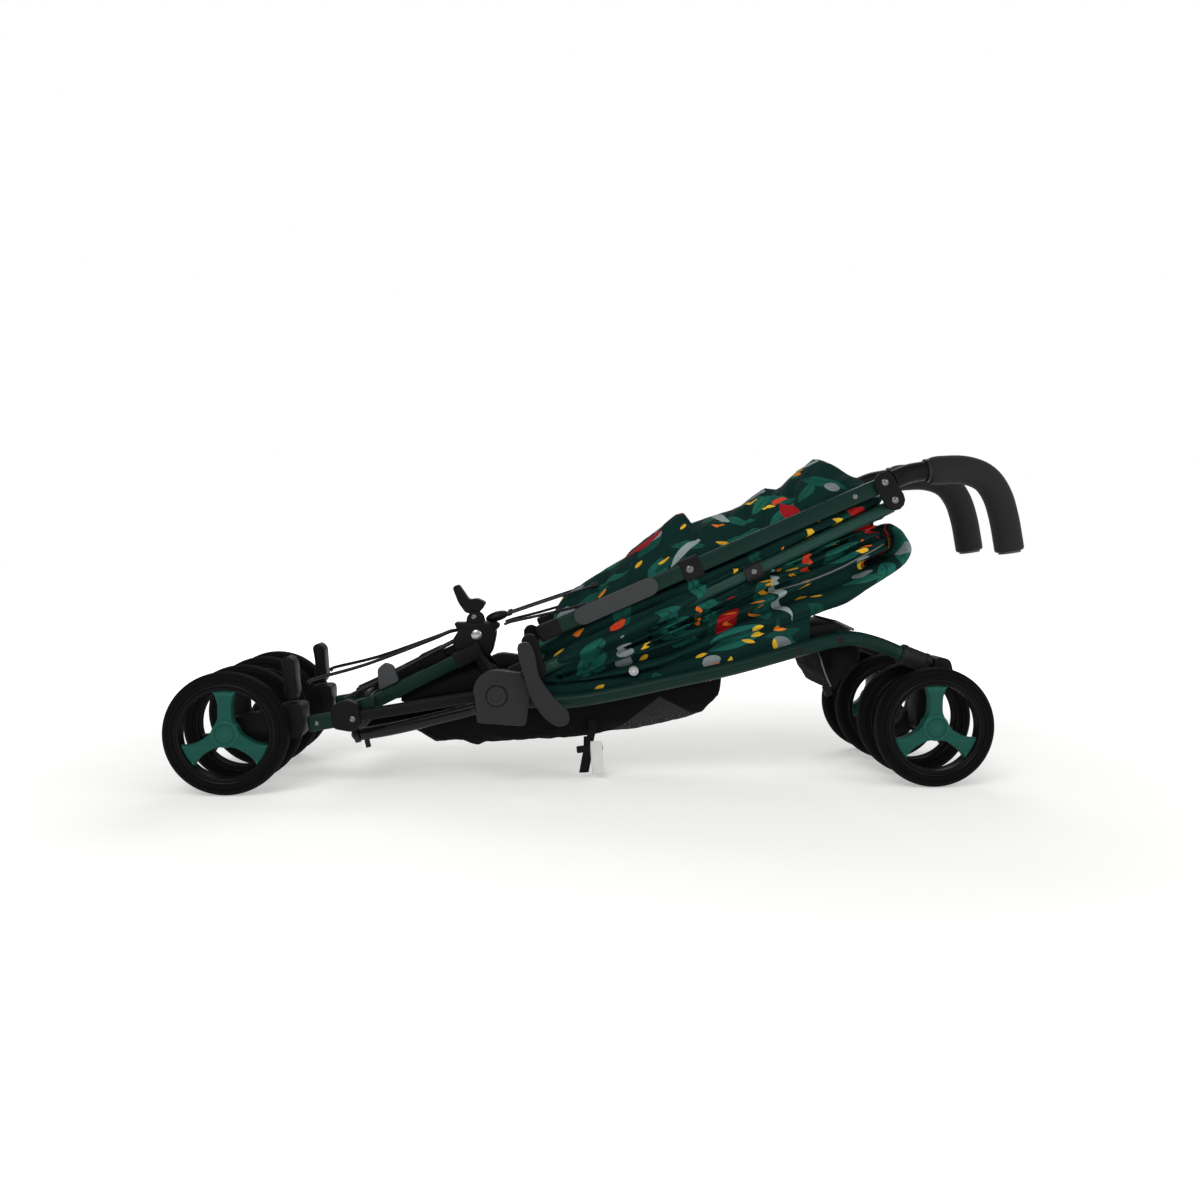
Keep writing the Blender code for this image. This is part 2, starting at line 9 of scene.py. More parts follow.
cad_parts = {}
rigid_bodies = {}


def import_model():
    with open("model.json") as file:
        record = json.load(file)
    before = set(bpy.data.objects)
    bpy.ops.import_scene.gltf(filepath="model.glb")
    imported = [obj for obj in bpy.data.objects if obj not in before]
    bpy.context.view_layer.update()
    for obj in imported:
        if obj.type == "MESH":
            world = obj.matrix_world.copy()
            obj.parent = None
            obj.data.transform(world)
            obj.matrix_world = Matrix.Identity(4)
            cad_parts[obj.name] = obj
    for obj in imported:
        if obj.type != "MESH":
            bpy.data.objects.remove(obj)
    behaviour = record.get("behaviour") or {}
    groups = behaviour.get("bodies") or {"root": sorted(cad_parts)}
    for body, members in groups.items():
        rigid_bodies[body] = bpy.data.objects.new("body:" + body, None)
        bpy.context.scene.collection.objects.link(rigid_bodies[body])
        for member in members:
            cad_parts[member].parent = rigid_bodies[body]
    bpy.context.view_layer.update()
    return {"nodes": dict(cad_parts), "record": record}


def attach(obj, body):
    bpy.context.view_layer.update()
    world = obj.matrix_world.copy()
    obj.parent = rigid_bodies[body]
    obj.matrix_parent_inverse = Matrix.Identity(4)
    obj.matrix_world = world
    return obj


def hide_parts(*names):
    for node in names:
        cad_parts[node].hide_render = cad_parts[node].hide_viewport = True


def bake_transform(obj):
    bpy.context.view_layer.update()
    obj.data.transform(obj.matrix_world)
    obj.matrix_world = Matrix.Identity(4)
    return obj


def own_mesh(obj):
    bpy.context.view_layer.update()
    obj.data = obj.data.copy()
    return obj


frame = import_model()
N, REC = frame["nodes"], frame["record"]
SLOT = {s["node"]: s["material_slot"] for s in REC["subparts"]}
BODY = {n: b for b, ns in REC["behaviour"]["bodies"].items() for n in ns}
scene = bpy.context.scene
S = -0.0816                      # the same shift along X as in the model


def wx(x):
    return x + S


# ------------------------------------------------------------------ camera
cam_d = bpy.data.cameras.new("camera")
cam_d.lens = 31.5
cam_d.sensor_width = 36
cam = bpy.data.objects.new("camera", cam_d)
cam.location = (wx(0.0), -1.412, 0.300)
cam.rotation_euler = (math.radians(90 - 2.84), 0, math.radians(-3.0))
scene.collection.objects.link(cam)
scene.camera = cam


# --------------------------------------------------------------- materials
class Mat:
    """Small helper that adds nodes and links them in one line."""

    def __init__(self, name, rough=0.5, metal=0.0, spec=0.5, sheen=0.0, coat=0.0):
        self.m = bpy.data.materials.new(name)
        self.m.use_nodes = True
        self.t = self.m.node_tree
        self.b = self.t.nodes["Principled BSDF"]
        self.b.inputs["Roughness"].default_value = rough
        self.b.inputs["Metallic"].default_value = metal
        self.b.inputs["Specular IOR Level"].default_value = spec
        self.b.inputs["Sheen Weight"].default_value = sheen
        self.b.inputs["Coat Weight"].default_value = coat
        self.co = self.t.nodes.new("ShaderNodeTexCoord").outputs["Object"]

    def node(self, kind, **props):
        n = self.t.nodes.new(kind)
        for k, v in props.items():
            setattr(n, k, v)
        return n

    def link(self, a, b):
        self.t.links.new(a, b)

    def put(self, sock, v):
        if isinstance(v, (int, float)):
            sock.default_value = v
        elif isinstance(v, (tuple, list)):
            sock.default_value = v
        else:
            self.link(v, sock)

    def math(self, op, a, b=None, clamp=False):
        n = self.node("ShaderNodeMath", operation=op, use_clamp=clamp)
        self.put(n.inputs[0], a)
        if b is not None:
            self.put(n.inputs[1], b)
        return n.outputs[0]

    def noise(self, scale, detail=3, rough=0.5, vec=None, out="Fac"):
        n = self.node("ShaderNodeTexNoise")
        n.inputs["Scale"].default_value = scale
        n.inputs["Detail"].default_value = detail
        n.inputs["Roughness"].default_value = rough
        self.link(vec if vec is not None else self.co, n.inputs["Vector"])
        return n.outputs[out]

    def ramp(self, fac, stops, interp="LINEAR"):
        n = self.node("ShaderNodeValToRGB")
        n.color_ramp.interpolation = interp
        e = n.color_ramp.elements
        while len(e) < len(stops):
            e.new(0.5)
        for el, (p, c) in zip(e, stops):
            el.position = p
            el.color = (*c, 1.0) if len(c) == 3 else c
        self.link(fac, n.inputs[0])
        return n.outputs["Color"]

    def mix(self, fac, a, b):
        n = self.node("ShaderNodeMix", data_type="RGBA")
        self.put(n.inputs[0], fac)
        for sock, v in ((n.inputs[6], a), (n.inputs[7], b)):
            self.put(sock, (*v, 1.0) if isinstance(v, tuple) and len(v) == 3 else v)
        return n.outputs[2]

    def range(self, v, lo, hi):
        n = self.node("ShaderNodeMapRange")
        self.link(v, n.inputs[0])
        n.inputs[3].default_value = lo
        n.inputs[4].default_value = hi
        return n.outputs[0]

    def bump(self, height, strength, dist, under=None):
        n = self.node("ShaderNodeBump")
        n.inputs["Strength"].default_value = strength
        n.inputs["Distance"].default_value = dist
        self.link(height, n.inputs["Height"])
        if under is not None:
            self.link(under, n.inputs["Normal"])
        return n.outputs[0]

    def done(self, colour=None, rough=None, normal=None):
        if colour is not None:
            self.link(colour, self.b.inputs["Base Color"])
        if rough is not None:
            self.link(rough, self.b.inputs["Roughness"])
        if normal is not None:
            self.link(normal, self.b.inputs["Normal"])
        return self.m


def hard(name, dark, light, rough, grain, depth, metal=0.0, coat=0.0, rv=0.08, scale=18, spec=0.13):
    """Moulded or painted surface: slight colour drift, dust, fine grain."""
    k = Mat(name, rough, metal, spec, coat=coat)
    big = k.noise(scale, 4, 0.6)
    fine = k.noise(grain, 2, 0.5)
    edge = k.node("ShaderNodeNewGeometry").outputs["Pointiness"]
    wear = k.range(edge, 0.0, 1.0)
    worn = k.math("MULTIPLY", k.math("SUBTRACT", wear, 0.53, True), 5.0, True)
    colour = k.mix(big, dark, light)
    colour = k.mix(worn, colour, tuple(min(1.0, c * 2.2 + 0.010) for c in light))
    return k.done(colour, k.range(big, rough - rv, rough + rv), k.bump(fine, 0.35, depth))


GREEN = hard("paint_green", (0.0024, 0.0160, 0.0120), (0.0038, 0.0245, 0.0180), 0.38, 900, 0.00006, 0.0, 0.0, spec=0.13)
SPOKE = hard("plastic_green", (0.005, 0.062, 0.046), (0.008, 0.078, 0.058), 0.42, 1400, 0.00008)
BLACK = hard("plastic_black", (0.0036, 0.0037, 0.0040), (0.0068, 0.0070, 0.0074), 0.48, 1600, 0.00010, spec=0.10)
SATIN = hard("plastic_smooth_black", (0.0055, 0.0055, 0.0060), (0.0090, 0.0091, 0.0096), 0.34, 900, 0.00005)
PLATE = hard("plastic_charcoal", (0.018, 0.018, 0.019), (0.027, 0.027, 0.028), 0.46, 1500, 0.00010)
PADM = hard("pad_grey", (0.034, 0.038, 0.037), (0.048, 0.052, 0.051), 0.55, 1500, 0.00010)
GREY = hard("plastic_grey", (0.040, 0.042, 0.046), (0.062, 0.064, 0.068), 0.45, 1500, 0.00009)
PAINTB = hard("paint_black", (0.008, 0.008, 0.009), (0.013, 0.013, 0.014), 0.35, 900, 0.00005, 0.2, 0.2)
STEEL = hard("steel_zinc", (0.33, 0.33, 0.34), (0.50, 0.50, 0.50), 0.32, 700, 0.00004, 1.0)
DSTEEL = hard("steel_dark", (0.10, 0.10, 0.105), (0.18, 0.18, 0.185), 0.38, 700, 0.00004, 1.0)
RUBBER = hard("rubber_tyre", (0.0018, 0.0018, 0.0019), (0.0040, 0.0040, 0.0042), 0.68, 700, 0.00015, rv=0.10, spec=0.06)
RIM = hard("plastic_rim", (0.0020, 0.0021, 0.0023), (0.0040, 0.0041, 0.0044), 0.36, 1100, 0.00005, spec=0.10)


def foam_mat():
    k = Mat("foam_grip", 0.80, 0, 0.30, sheen=0.05)
    a = k.noise(1500, 3, 0.6)
    v = k.node("ShaderNodeTexVoronoi")
    v.inputs["Scale"].default_value = 900
    k.link(k.co, v.inputs["Vector"])
    h = k.math("ADD", a, v.outputs["Distance"])
    big = k.noise(22, 4, 0.6)
    return k.done(k.mix(big, (0.0060, 0.0060, 0.0062), (0.0110, 0.0110, 0.0112)), k.range(big, 0.74, 0.90),
                  k.bump(h, 0.5, 0.00018))


FOAM = foam_mat()


def weave(k, scale, vec):
    """Plain weave height: two crossed sets of threads."""
    w = []
    for axis in ("X", "Y"):
        n = k.node("ShaderNodeTexWave", wave_type="BANDS", bands_direction=axis, wave_profile="SIN")
        n.inputs["Scale"].default_value = scale
        n.inputs["Distortion"].default_value = 0.15
        k.link(vec, n.inputs["Vector"])
        w.append(n.outputs["Fac"])
    return k.math("MAXIMUM", w[0], w[1])


def unroll(k):
    """Cloth coordinates: along the length, and up the side then across the top."""
    sep = k.node("ShaderNodeSeparateXYZ")
    k.link(k.co, sep.inputs[0])
    # slope of the folded bundle is about 24 degrees
    u = k.math("ADD", k.math("MULTIPLY", sep.outputs["X"], 0.914), k.math("MULTIPLY", sep.outputs["Z"], 0.407))
    w = k.math("SUBTRACT", k.math("MULTIPLY", sep.outputs["Z"], 0.914), k.math("MULTIPLY", sep.outputs["X"], 0.407))
    # down each side from a seam along the middle
    far = k.math("GREATER_THAN", sep.outputs["Y"], 0.0)
    ay = k.math("ABSOLUTE", sep.outputs["Y"])
    u = k.math("ADD", k.math("SUBTRACT", u, k.math("MULTIPLY", ay, 0.5)), k.math("ADD", k.math("MULTIPLY", far, 0.61), 0.035))
    v = k.math("ADD", k.math("SUBTRACT", w, ay), k.math("MULTIPLY", far, 0.37))
    c = k.node("ShaderNodeCombineXYZ")
    k.link(u, c.inputs[0])
    k.link(v, c.inputs[1])
    # slow distortion, so that shapes bend with the folds
    nn = k.noise(9, 2, 0.5, c.outputs[0], "Color")
    off = k.node("ShaderNodeVectorMath", operation="SUBTRACT")
    k.link(nn, off.inputs[0])
    off.inputs[1].default_value = (0.5, 0.5, 0.5)
    sc = k.node("ShaderNodeVectorMath", operation="SCALE")
    k.link(off.outputs[0], sc.inputs[0])
    sc.inputs["Scale"].default_value = 0.020
    add = k.node("ShaderNodeVectorMath", operation="ADD")
    k.link(c.outputs[0], add.inputs[0])
    k.link(sc.outputs[0], add.inputs[1])
    return add.outputs[0]


def scatter(k, uv, cells, shift, length, width, chance, lens=True):
    """Mask of turned leaf or oval shapes, one in a cell, and a random value for each."""
    mp = k.node("ShaderNodeMapping")
    mp.inputs["Location"].default_value = (shift, shift * 0.37, 0)
    mp.inputs["Scale"].default_value = (cells, cells, cells)
    k.link(uv, mp.inputs["Vector"])
    vo = k.node("ShaderNodeTexVoronoi", voronoi_dimensions="2D", feature="F1")
    vo.inputs["Scale"].default_value = 1.0
    vo.inputs["Randomness"].default_value = 0.85
    k.link(mp.outputs[0], vo.inputs["Vector"])
    d = k.node("ShaderNodeVectorMath", operation="SUBTRACT")
    k.link(mp.outputs[0], d.inputs[0])
    k.link(vo.outputs["Position"], d.inputs[1])
    col = k.node("ShaderNodeSeparateColor")
    k.link(vo.outputs["Color"], col.inputs[0])
    rot = k.node("ShaderNodeVectorRotate", rotation_type="Z_AXIS")
    k.link(d.outputs[0], rot.inputs["Vector"])
    k.link(k.math("MULTIPLY", col.outputs[0], 6.2832), rot.inputs["Angle"])
    s = k.node("ShaderNodeSeparateXYZ")
    k.link(rot.outputs[0], s.inputs[0])
    L, W = length * cells, width * cells
    x = k.math("DIVIDE", s.outputs["X"], L)
    y = k.math("DIVIDE", s.outputs["Y"], W)
    if lens:   # pointed leaf: |y| < 1 - x^2
        e = k.math("ADD", k.math("ABSOLUTE", y), k.math("MULTIPLY", x, x))
    else:      # oval
        e = k.math("ADD", k.math("MULTIPLY", y, y), k.math("MULTIPLY", x, x))
    inside = k.math("LESS_THAN", e, 1.0)
    there = k.math("LESS_THAN", col.outputs[2], chance)
    return k.math("MULTIPLY", inside, there), col.outputs[1], x, y


def print_fabric():
    k = Mat("fabric_print", 0.82, 0, 0.06)
    uv = unroll(k)
    big = k.noise(14, 4, 0.6)
    colour = k.mix(big, (0.0030, 0.019, 0.0165), (0.0055, 0.030, 0.025))
    # broad teal leaves, with a paler rib
    for cells, shift, ln, wd, ch, c0, c1 in (
            (15.0, 3.1, 0.034, 0.0125, 0.62, (0.008, 0.070, 0.056), (0.014, 0.125, 0.098)),
            (19.0, 7.7, 0.026, 0.0080, 0.50, (0.006, 0.050, 0.040), (0.016, 0.120, 0.076))):
        m, r, x, y = scatter(k, uv, cells, shift, ln, wd, ch)
        c = k.mix(r, c0, c1)
        rib = k.math("LESS_THAN", k.math("ABSOLUTE", y), 0.06)
        c = k.mix(rib, c, (0.006, 0.040, 0.036))
        colour = k.mix(m, colour, c)
    # pale hill-like shapes
    m, r, x, y = scatter(k, uv, 11.0, 1.3, 0.040, 0.0120, 0.34)
    stripe = k.math("GREATER_THAN", y, 0.0)
    colour = k.mix(k.math("MULTIPLY", m, stripe), colour, (0.27, 0.33, 0.32))
    # grey ovals
    m, r, x, y = scatter(k, uv, 17.0, 5.9, 0.0125, 0.0095, 0.30, False)
    colour = k.mix(m, colour, k.mix(r, (0.16, 0.19, 0.20), (0.30, 0.33, 0.34)))
    # red blobs and half blobs
    m, r, x, y = scatter(k, uv, 10.5, 9.4, 0.028, 0.0115, 0.42)
    colour = k.mix(m, colour, k.mix(r, (0.30, 0.008, 0.014), (0.50, 0.022, 0.020)))
    m2, r, x, y = scatter(k, uv, 13.0, 2.6, 0.0115, 0.0095, 0.22, False)
    half = k.math("LESS_THAN", y, 0.15)
    colour = k.mix(k.math("MULTIPLY", m2, half), colour, (0.62, 0.060, 0.020))
    # yellow and orange sprigs: three small leaves to a cell
    for i, (shift, c0, c1) in enumerate(((4.4, (0.70, 0.36, 0.015), (0.80, 0.52, 0.04)),
                                         (8.2, (0.68, 0.13, 0.012), (0.75, 0.24, 0.02)),
                                         (6.5, (0.72, 0.46, 0.03), (0.66, 0.30, 0.02)))):
        m, r, x, y = scatter(k, uv, 26.0, shift, 0.0090, 0.0034, 0.13)
        colour = k.mix(m, colour, k.mix(r, c0, c1))
    h = weave(k, 620, uv)
    st = k.node("ShaderNodeMapping")
    st.inputs["Scale"].default_value = (0.22, 1.0, 1.0)
    k.link(uv, st.inputs["Vector"])
    wr = k.math("ADD", k.noise(95, 4, 0.60, st.outputs[0]), k.math("MULTIPLY", k.noise(60, 4, 0.6), 0.5))
    n1 = k.bump(wr, 0.60, 0.0050)
    n2 = k.bump(h, 0.25, 0.00012, n1)
    return k.done(colour, k.range(big, 0.70, 0.88), n2)


def plain_fabric(name, dark, light, mesh_zone=None):
    k = Mat(name, 0.86, 0, 0.05)
    uv = unroll(k)
    big = k.noise(16, 4, 0.6)
    colour = k.mix(big, dark, light)
    n1 = k.bump(k.noise(60, 5, 0.6), 0.40, 0.0020)
    if mesh_zone:
        # tent-shaped window of open mesh
        px_, pz_ = mesh_zone
        sep = k.node("ShaderNodeSeparateXYZ")
        k.link(k.co, sep.inputs[0])
        dx = k.math("SUBTRACT", sep.outputs["X"], px_)
        left = k.math("ADD", k.math("MULTIPLY", dx, 0.785), pz_)
        right = k.math("ADD", k.math("MULTIPLY", dx, -0.535), pz_)
        zone = k.math("LESS_THAN", sep.outputs["Z"], k.math("MINIMUM", left, right))
        v = k.node("ShaderNodeTexVoronoi", voronoi_dimensions="2D")
        v.inputs["Scale"].default_value = 640
        v.inputs["Randomness"].default_value = 0.15
        k.link(uv, v.inputs["Vector"])
        thread = k.math("GREATER_THAN", v.outputs["Distance"], 0.40)
        colour = k.mix(zone, colour, k.mix(thread, (0.013, 0.013, 0.0135), (0.050, 0.050, 0.051)))
    n2 = k.bump(weave(k, 520, uv), 0.30, 0.00016, n1)
    return k.done(colour, k.range(big, 0.76, 0.92), n2)


PRINT = print_fabric()
CLOTHB = plain_fabric("fabric_black", (0.0040, 0.0040, 0.0043), (0.0085, 0.0085, 0.0088))
BASKET = plain_fabric("fabric_basket", (0.0038, 0.0038, 0.0041), (0.0080, 0.0080, 0.0083), (wx(0.1492), 0.1060))
PIPING = plain_fabric("fabric_piping", (0.10, 0.105, 0.11), (0.16, 0.165, 0.17))
WEB = plain_fabric("webbing_black", (0.006, 0.006, 0.0065), (0.012, 0.012, 0.012))
TAG = plain_fabric("tag_white", (0.66, 0.66, 0.63), (0.78, 0.78, 0.76))
MATS = {"green_paint": GREEN, "green_plastic": SPOKE, "black_plastic": BLACK, "grey_plastic": GREY, "tyre_rubber": RUBBER,
        "grip_foam": FOAM, "black_paint": PAINTB, "black_cable": PAINTB, "printed_fabric": PRINT, "black_fabric": CLOTHB,
        "black_webbing": WEB, "tag_fabric": TAG}


# ----------------------------------------------------------------- helpers
def setmat(o, m):
    o.data.materials.clear()
    o.data.materials.append(m)
    return o


def obj(name, me, m):
    o = bpy.data.objects.new(name, me)
    scene.collection.objects.link(o)
    if m:
        setmat(o, m)
    return o


def evaluated(o):
    bpy.context.view_layer.update()
    return bpy.data.meshes.new_from_object(o.evaluated_get(bpy.context.evaluated_depsgraph_get()))


def bake(o):
    """Applies all modifiers, and turns a curve into a mesh."""
    me = evaluated(o)
    name, mw = o.name, o.matrix_world.copy()
    mats = list(o.data.materials)
    bpy.data.objects.remove(o, do_unlink=True)
    n = bpy.data.objects.new(name, me)
    n.matrix_world = mw
    scene.collection.objects.link(n)
    me.materials.clear()
    for m in mats:
        me.materials.append(m)
    return n


def smooth_by(o, deg=35):
    o.data.shade_smooth()
    o.data.set_sharp_from_angle(angle=math.radians(deg))
    return o


def refine(node, width=0.0012, segs=3, m=None, deg=30):
    """The same shape as a CAD node, with rounded edges."""
    me = N[node].data.copy()
    bm = bmesh.new()
    bm.from_mesh(me)
    bmesh.ops.remove_doubles(bm, verts=bm.verts, dist=2e-5)
    bmesh.ops.dissolve_limit(bm, angle_limit=math.radians(1.5), verts=bm.verts, edges=bm.edges)
    bm.to_mesh(me)
    bm.free()
    o = obj(node + ".fine", me, m or MATS[SLOT[node]])
    b = o.modifiers.new("edges", "BEVEL")
    b.width = width
    b.segments = segs
    b.limit_method = "ANGLE"
    b.angle_limit = math.radians(deg)
    b.use_clamp_overlap = True
    o = bake(o)
    smooth_by(o, 40)
    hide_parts(node)
    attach(o, BODY[node])
    return o


def crom(points, per):
    v = [Vector(p) for p in points]
    v = [2 * v[0] - v[1]] + v + [2 * v[-1] - v[-2]]
    out = []
    for i in range(1, len(v) - 2):
        a, b, c, d = v[i - 1:i + 3]
        for j in range(per):
            t = j / per
            out.append(0.5 * ((2 * b) + (c - a) * t + (2 * a - 5 * b + 4 * c - d) * t * t
                              + (3 * b - a - 3 * c + d) * t ** 3))
    out.append(v[-2])
    return [tuple(p) for p in out]


def tube(name, pts, r, m, body, per=8, res=6, repl=(), radii=None):
    """Round tube through points of the model frame before its shift."""
    pts = crom(pts, per) if per > 1 else pts
    cu = bpy.data.curves.new(name, "CURVE")
    cu.dimensions = "3D"
    cu.bevel_depth = r
    cu.bevel_resolution = res
    cu.use_fill_caps = True
    sp = cu.splines.new("POLY")
    sp.points.add(len(pts) - 1)
    for i, (p, q) in enumerate(zip(sp.points, pts)):
        p.co = (wx(q[0]), q[1], q[2], 1.0)
        if radii:
            p.radius = radii(i / (len(pts) - 1))
    o = bpy.data.objects.new(name, cu)
    scene.collection.objects.link(o)
    cu.materials.append(m)
    o = bake(o)
    bm = bmesh.new()
    bm.from_mesh(o.data)
    bmesh.ops.remove_doubles(bm, verts=bm.verts, dist=1e-6)
    bm.to_mesh(o.data)
    bm.free()
    smooth_by(o, 45)
    if repl:
        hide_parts(*repl)
    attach(o, body)
    return o


def lathe(name, prof, steps, m, closed=True):
    """Turns a profile (radius, along) about Y.  The profile runs round the section."""
    me = bpy.data.meshes.new(name)
    n = len(prof)
    vs, fs = [], []
    for i in range(steps):
        a = 2 * math.pi * i / steps
        vs += [(r * math.cos(a), h, r * math.sin(a)) for r, h in prof]
    for i in range(steps):
        k = (i + 1) % steps
        for j in range(n if closed else n - 1):
            l = (j + 1) % n
            fs.append((i * n + j, i * n + l, k * n + l, k * n + j))
    me.from_pydata(vs, [], fs)
    bm = bmesh.new()
    bm.from_mesh(me)
    bmesh.ops.remove_doubles(bm, verts=bm.verts, dist=1e-6)
    bmesh.ops.recalc_face_normals(bm, faces=bm.faces)
    bm.to_mesh(me)
    bm.free()
    me.shade_smooth()
    me.set_sharp_from_angle(angle=math.radians(38))
    if m:
        me.materials.append(m)
    return me


def outline(name, loops, y0, y1, m, bevel=0.0015, origin=(0, 0)):
    """A flat outline in XZ with rounded edges, from y0 to y1, about an origin."""
    cu = bpy.data.curves.new(name, "CURVE")
    cu.dimensions = "2D"
    cu.fill_mode = "BOTH"
    cu.extrude = abs(y1 - y0) / 2 - bevel
    cu.bevel_depth = bevel
    cu.bevel_resolution = 2
    cu.offset = -bevel
    for loop in loops:
        sp = cu.splines.new("POLY")
        sp.points.add(len(loop) - 1)
        for p, q in zip(sp.points, loop):
            p.co = (q[0] - origin[0], q[1] - origin[1], 0, 1)
        sp.use_cyclic_u = True
    o = bpy.data.objects.new(name, cu)
    o.rotation_euler = (math.pi / 2, 0, 0)
    o.location = (origin[0], (y0 + y1) / 2, origin[1])
    scene.collection.objects.link(o)
    if m:
        cu.materials.append(m)
    o = bake(o)
    bm = bmesh.new()
    bm.from_mesh(o.data)
    bmesh.ops.remove_doubles(bm, verts=bm.verts, dist=1e-6)
    bm.to_mesh(o.data)
    bm.free()
    return smooth_by(o, 40)


def disc(name, x, y, z, r, t, m, body, side=-1, dome=0.0, slot_head=False):
    """Round head of a pin, rivet or screw, facing -Y for side -1."""
    prof = [(0.0, side * t)] if dome == 0 else [(0.0, side * (t + dome))]
    if dome:
        prof += [(r * 0.35, side * (t + dome * 0.88)), (r * 0.70, side * (t + dome * 0.5))]
    prof += [(r * 0.86, side * t), (r, side * t * 0.6), (r, 0.0), (0.0, 0.0)]
    if slot_head:
        prof = [(0.0, side * t * 0.35), (r * 0.42, side * t * 0.35), (r * 0.44, side * t), (r * 0.86, side * t), (r, side * t * 0.6),
                (r, 0.0), (0.0, 0.0)]
    me = lathe(name, prof, 28, m, closed=False)
    o = obj(name, me, None)
    o.location = (wx(x), y, z)
    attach(o, body)
    return o


def rounded(pts, r, n=6):
    out = []
    m = len(pts)
    for i in range(m):
        p = Vector(pts[i])
        a = Vector(pts[i - 1]) - p
        b = Vector(pts[(i + 1) % m]) - p
        q = min(r, a.length * 0.45, b.length * 0.45)
        a = p + a.normalized() * q
        b = p + b.normalized() * q
        for k in range(n + 1):
            t = k / n
            c = a * (1 - t) ** 2 + p * 2 * t * (1 - t) + b * t * t
            out.append((c.x, c.y))
    return out


def circle(cx, cz, r, n, start=0.0):
    return [(cx + r * math.cos(start + 2 * math.pi * i / n), cz + r * math.sin(start + 2 * math.pi * i / n))
            for i in range(n)]


def bar(name, a, b, w, h, m, body, bevel=0.002, segs=4):
    """A rectangular bar with rounded edges from a to b."""
    a, b = Vector((wx(a[0]), a[1], a[2])), Vector((wx(b[0]), b[1], b[2]))
    d = b - a
    bm = bmesh.new()
    bmesh.ops.create_cube(bm, size=1.0)
    bmesh.ops.scale(bm, vec=(d.length, w, h), verts=bm.verts)
    bmesh.ops.translate(bm, vec=(d.length / 2, 0, 0), verts=bm.verts)
    me = bpy.data.meshes.new(name)
    bm.to_mesh(me)
    bm.free()
    o = obj(name, me, m)
    x = d.normalized()
    y = Vector((0, 0, 1)).cross(x).normalized()
    o.matrix_world = Matrix.Translation(a) @ Matrix((x, y, x.cross(y))).transposed().to_4x4()
    mod = o.modifiers.new("edges", "BEVEL")
    mod.width = bevel
    mod.segments = segs
    mod.limit_method = "ANGLE"
    o = bake(o)
    smooth_by(o, 40)
    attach(o, body)
    return o


# ------------------------------------------------------------------ wheels
HZ = 0.0760 * math.cos(math.pi / 24)
R = HZ - 0.00005
REAR, FRONT = (-0.3865, HZ), (0.4878, HZ)
TRACK, PAIR = 0.0885, 0.0375


def sym(half):
    """Mirrors a half profile of (radius, +along) into a whole section."""
    return half + [(r, -h) for r, h in reversed(half)]


tyre_prof = sym([(0.0612, 0.0040), (0.0608, 0.0098), (0.0618, 0.0112), (0.0640, 0.0118), (0.0662, 0.0119), (0.0668, 0.0112),
                 (0.0676, 0.0112), (0.0682, 0.0118), (0.0700, 0.0115), (0.0718, 0.0105), (0.0732, 0.0090), (0.0742, 0.0072),
                 (0.0744, 0.0062), (0.0738, 0.0058), (0.0738, 0.0052), (R - 0.0003, 0.0047), (R, 0.0020), (R, 0.0012),
                 (R - 0.0008, 0.0009), (R - 0.0008, 0.0)])
rim_prof = sym([(0.0536, 0.0020), (0.0536, 0.0085), (0.0541, 0.0098), (0.0552, 0.0106), (0.0562, 0.0106), (0.0568, 0.0096),
                (0.0580, 0.0094), (0.0588, 0.0104), (0.0600, 0.0108), (0.0610, 0.0102), (0.0613, 0.0090), (0.0613, 0.0020)])
TYRE_ME = lathe("tyre_section", tyre_prof, 112, RUBBER)
RIM_ME = lathe("rim_section", rim_prof, 96, RIM)


def star(r_out, r_hub, half_tip, half_neck):
    """Three arms with concave sides and flared ends, and a round middle."""
    out = []
    for k in range(3):
        a = math.pi / 2 + 2 * math.pi * k / 3
        c, s = math.cos(a), math.sin(a)
        side = []
        n = 14
        for i in range(n + 1):
            t = i / n
            u = r_hub * 0.86 + (r_out - r_hub * 0.86) * t
            v = half_neck + (half_tip - half_neck) * max(0.0, (t - 0.42) / 0.58) ** 2.2 \
                + 0.0022 * max(0.0, 1 - t / 0.22) ** 2
            if i == n:
                u = math.sqrt(max(0.0, r_out ** 2 - v * v))
            else:
                u = min(u, math.sqrt(max(0.0, r_out ** 2 - v * v)))
            side.append((u, v))
        arc0 = math.atan2(half_tip, math.sqrt(r_out ** 2 - half_tip ** 2))
        arc = [(r_out * math.cos(t), r_out * math.sin(t)) for t in [-arc0 + 2 * arc0 * i / 10 for i in range(1, 10)]]
        for u, v in [(u, -v) for u, v in side] + arc + list(reversed(side)):
            out.append((u * c - v * s, u * s + v * c))
        b = a + math.pi / 3
        w = math.pi / 3 - math.asin(min(1, (half_neck + 0.0022) / r_hub)) - 0.05
        for i in range(7):
            t = -w + 2 * w * i / 6
            out.append((r_hub * math.cos(b + t), r_hub * math.sin(b + t)))
    return out


def spoke_piece(name, m):
    o = outline(name, [star(0.0534, 0.0168, 0.0148, 0.0083), circle(0, 0, 0.0046, 28)], -0.0075, 0.0075, m, 0.0016)
    me = o.data
    me.transform(o.matrix_world)
    bpy.data.objects.remove(o, do_unlink=True)
    return me


SPOKE_ME = {True: spoke_piece("spokes_green", SPOKE), False: spoke_piece("spokes_black", BLACK)}
for m in SPOKE_ME.values():
    m.shade_smooth()
    m.set_sharp_from_angle(angle=math.radians(40))
